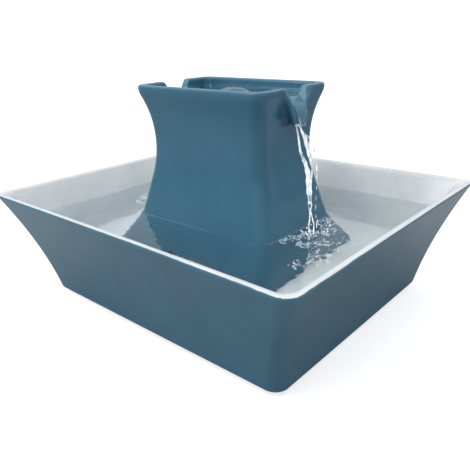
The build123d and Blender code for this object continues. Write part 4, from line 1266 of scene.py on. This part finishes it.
def ridge_group():
    tree, given, result = group_with(
        "ridges",
        [("Across", "Vector", (1, 0, 0)), ("Count per metre", "Float", 2000), ("Unrest", "Float", 0.2)],
        [("Height", "Float"), ("Tone", "Float")],
    )
    place = object_place(tree)
    along = add_node(tree, "VectorMath", {0: place, 1: given["Across"]}, operation="DOT_PRODUCT")
    shift = maths(tree, "MULTIPLY", noise_at(tree, place, 90), given["Unrest"])
    turns = maths(tree, "MULTIPLY_ADD", along.outputs["Value"], given["Count per metre"], shift)
    round_top = maths(tree, "ABSOLUTE", maths(tree, "SINE", maths(tree, "MULTIPLY", turns, pi)))
    number = maths(tree, "FLOOR", turns)
    own = add_node(tree, "TexWhiteNoise", {"W": number}, noise_dimensions="1D").outputs["Value"]
    # painted shade: each ridge is darker towards the grooves beside it
    groove_shade = map_range(tree, round_top, 0.0, 0.45, 0.35, 1.0)
    varied = map_range(tree, own, 0.0, 1.0, 0.78, 1.0)
    tree.links.new(round_top, result["Height"])
    tree.links.new(maths(tree, "MULTIPLY", groove_shade, varied), result["Tone"])
    return tree


def ridged(name, colour, across, pitch_mm, unrest, roughness, coat):
    """Bare metal in ridges. The tone of each one, darker towards its grooves as painted shade, varies its
    colour and its gloss.
    """
    made, tree, surface = new_material(name)
    parts = use_group(tree, RIDGES, across=across, count_per_metre=1000 / pitch_mm, unrest=unrest)
    tone = parts["Tone"]
    stained = map_range(tree, noise_at(tree, object_place(tree), 240), 0.5, 0.7, 0, 0.5)
    worn = blend_colours(tree, stained, (*colour, 1), TARNISH)
    set_surface(
        tree, surface,
        Base_Color=tinted(tree, worn, grey(tree, tone)),
        Roughness=map_range(tree, tone, 0.3, 1.0, roughness + 0.2, roughness),
        Metallic=1.0, Coat_Weight=coat,
    )
    bump(tree, surface, parts["Height"], 0.12)
    return made


RIDGES = ridge_group()
METALS = {  # colour, direction across the ridges, pitch in millimetres, unrest, roughness and coat
    "core_steel": ((0.46, 0.46, 0.47), (1, 0, 0), 0.5, 0.1, 0.34, 0.0),
    "copper_winding": ((0.72, 0.30, 0.12), (0, 1, 0), 0.32, 0.5, 0.28, 0.5),
}
for name, values in METALS.items():
    finishes[name] = ridged(name, *values)
print("ridged:", list(METALS))

# %% [markdown]
# ## Cloth
# One finish is left. The cloth is a mat of bonded fibres without a weave, so its pattern is a
# stretched noise in two directions and not threads. Then every finish goes to the pieces that have
# a slot of its name.

# %% Cloth, and handing out the finishes
# fibre colours: clean on top, darker lower in the mat as painted shade, and a stain
NEW_FIBRE, SHADED_FIBRE, STAIN = (0.84, 0.85, 0.84, 1), (0.60, 0.61, 0.60, 1), (0.55, 0.52, 0.44, 1)


def fibre_material(name):
    made, tree, surface = new_material(name)
    place = object_place(tree)
    both = [
        noise_at(tree, stretched(tree, place, squeeze), 2400, Distortion=0.8)
        for squeeze in ((1, 1, 0.12), (1, 0.12, 1))
    ]
    mat = maths(tree, "MAXIMUM", *both)
    # painted shade: where the mat lies low, as the bump draws it, the fibres are darker
    clean = blend_colours(tree, map_range(tree, mat, 0.42, 0.66), SHADED_FIBRE, NEW_FIBRE)
    stained = map_range(tree, noise_at(tree, place, 70, 4), 0.5, 0.75, 0.0, 0.35)
    set_surface(
        tree, surface, Base_Color=blend_colours(tree, stained, clean, STAIN),
        Roughness=map_range(tree, mat, 0.4, 0.7, 0.95, 0.8), Sheen_Weight=0.25,
    )
    bump(tree, surface, mat, 0.12)
    return made


finishes["filter_cloth"] = fibre_material("filter_cloth")
for piece in cloths:
    piece.data.materials.append(finishes["filter_cloth"])
foam.data.materials.append(finishes["filter_foam"])
coal.data.materials.append(finishes["charcoal_granules"])

dressed = 0
for entry in frame["record"]["subparts"]:
    node = frame["nodes"][entry["node"]]
    if entry["material_slot"] in finishes and not node.hide_render:
        for place in node.material_slots:
            place.material = finishes[entry["material_slot"]]
        dressed += 1
print("packed nodes with a new finish:", dressed)
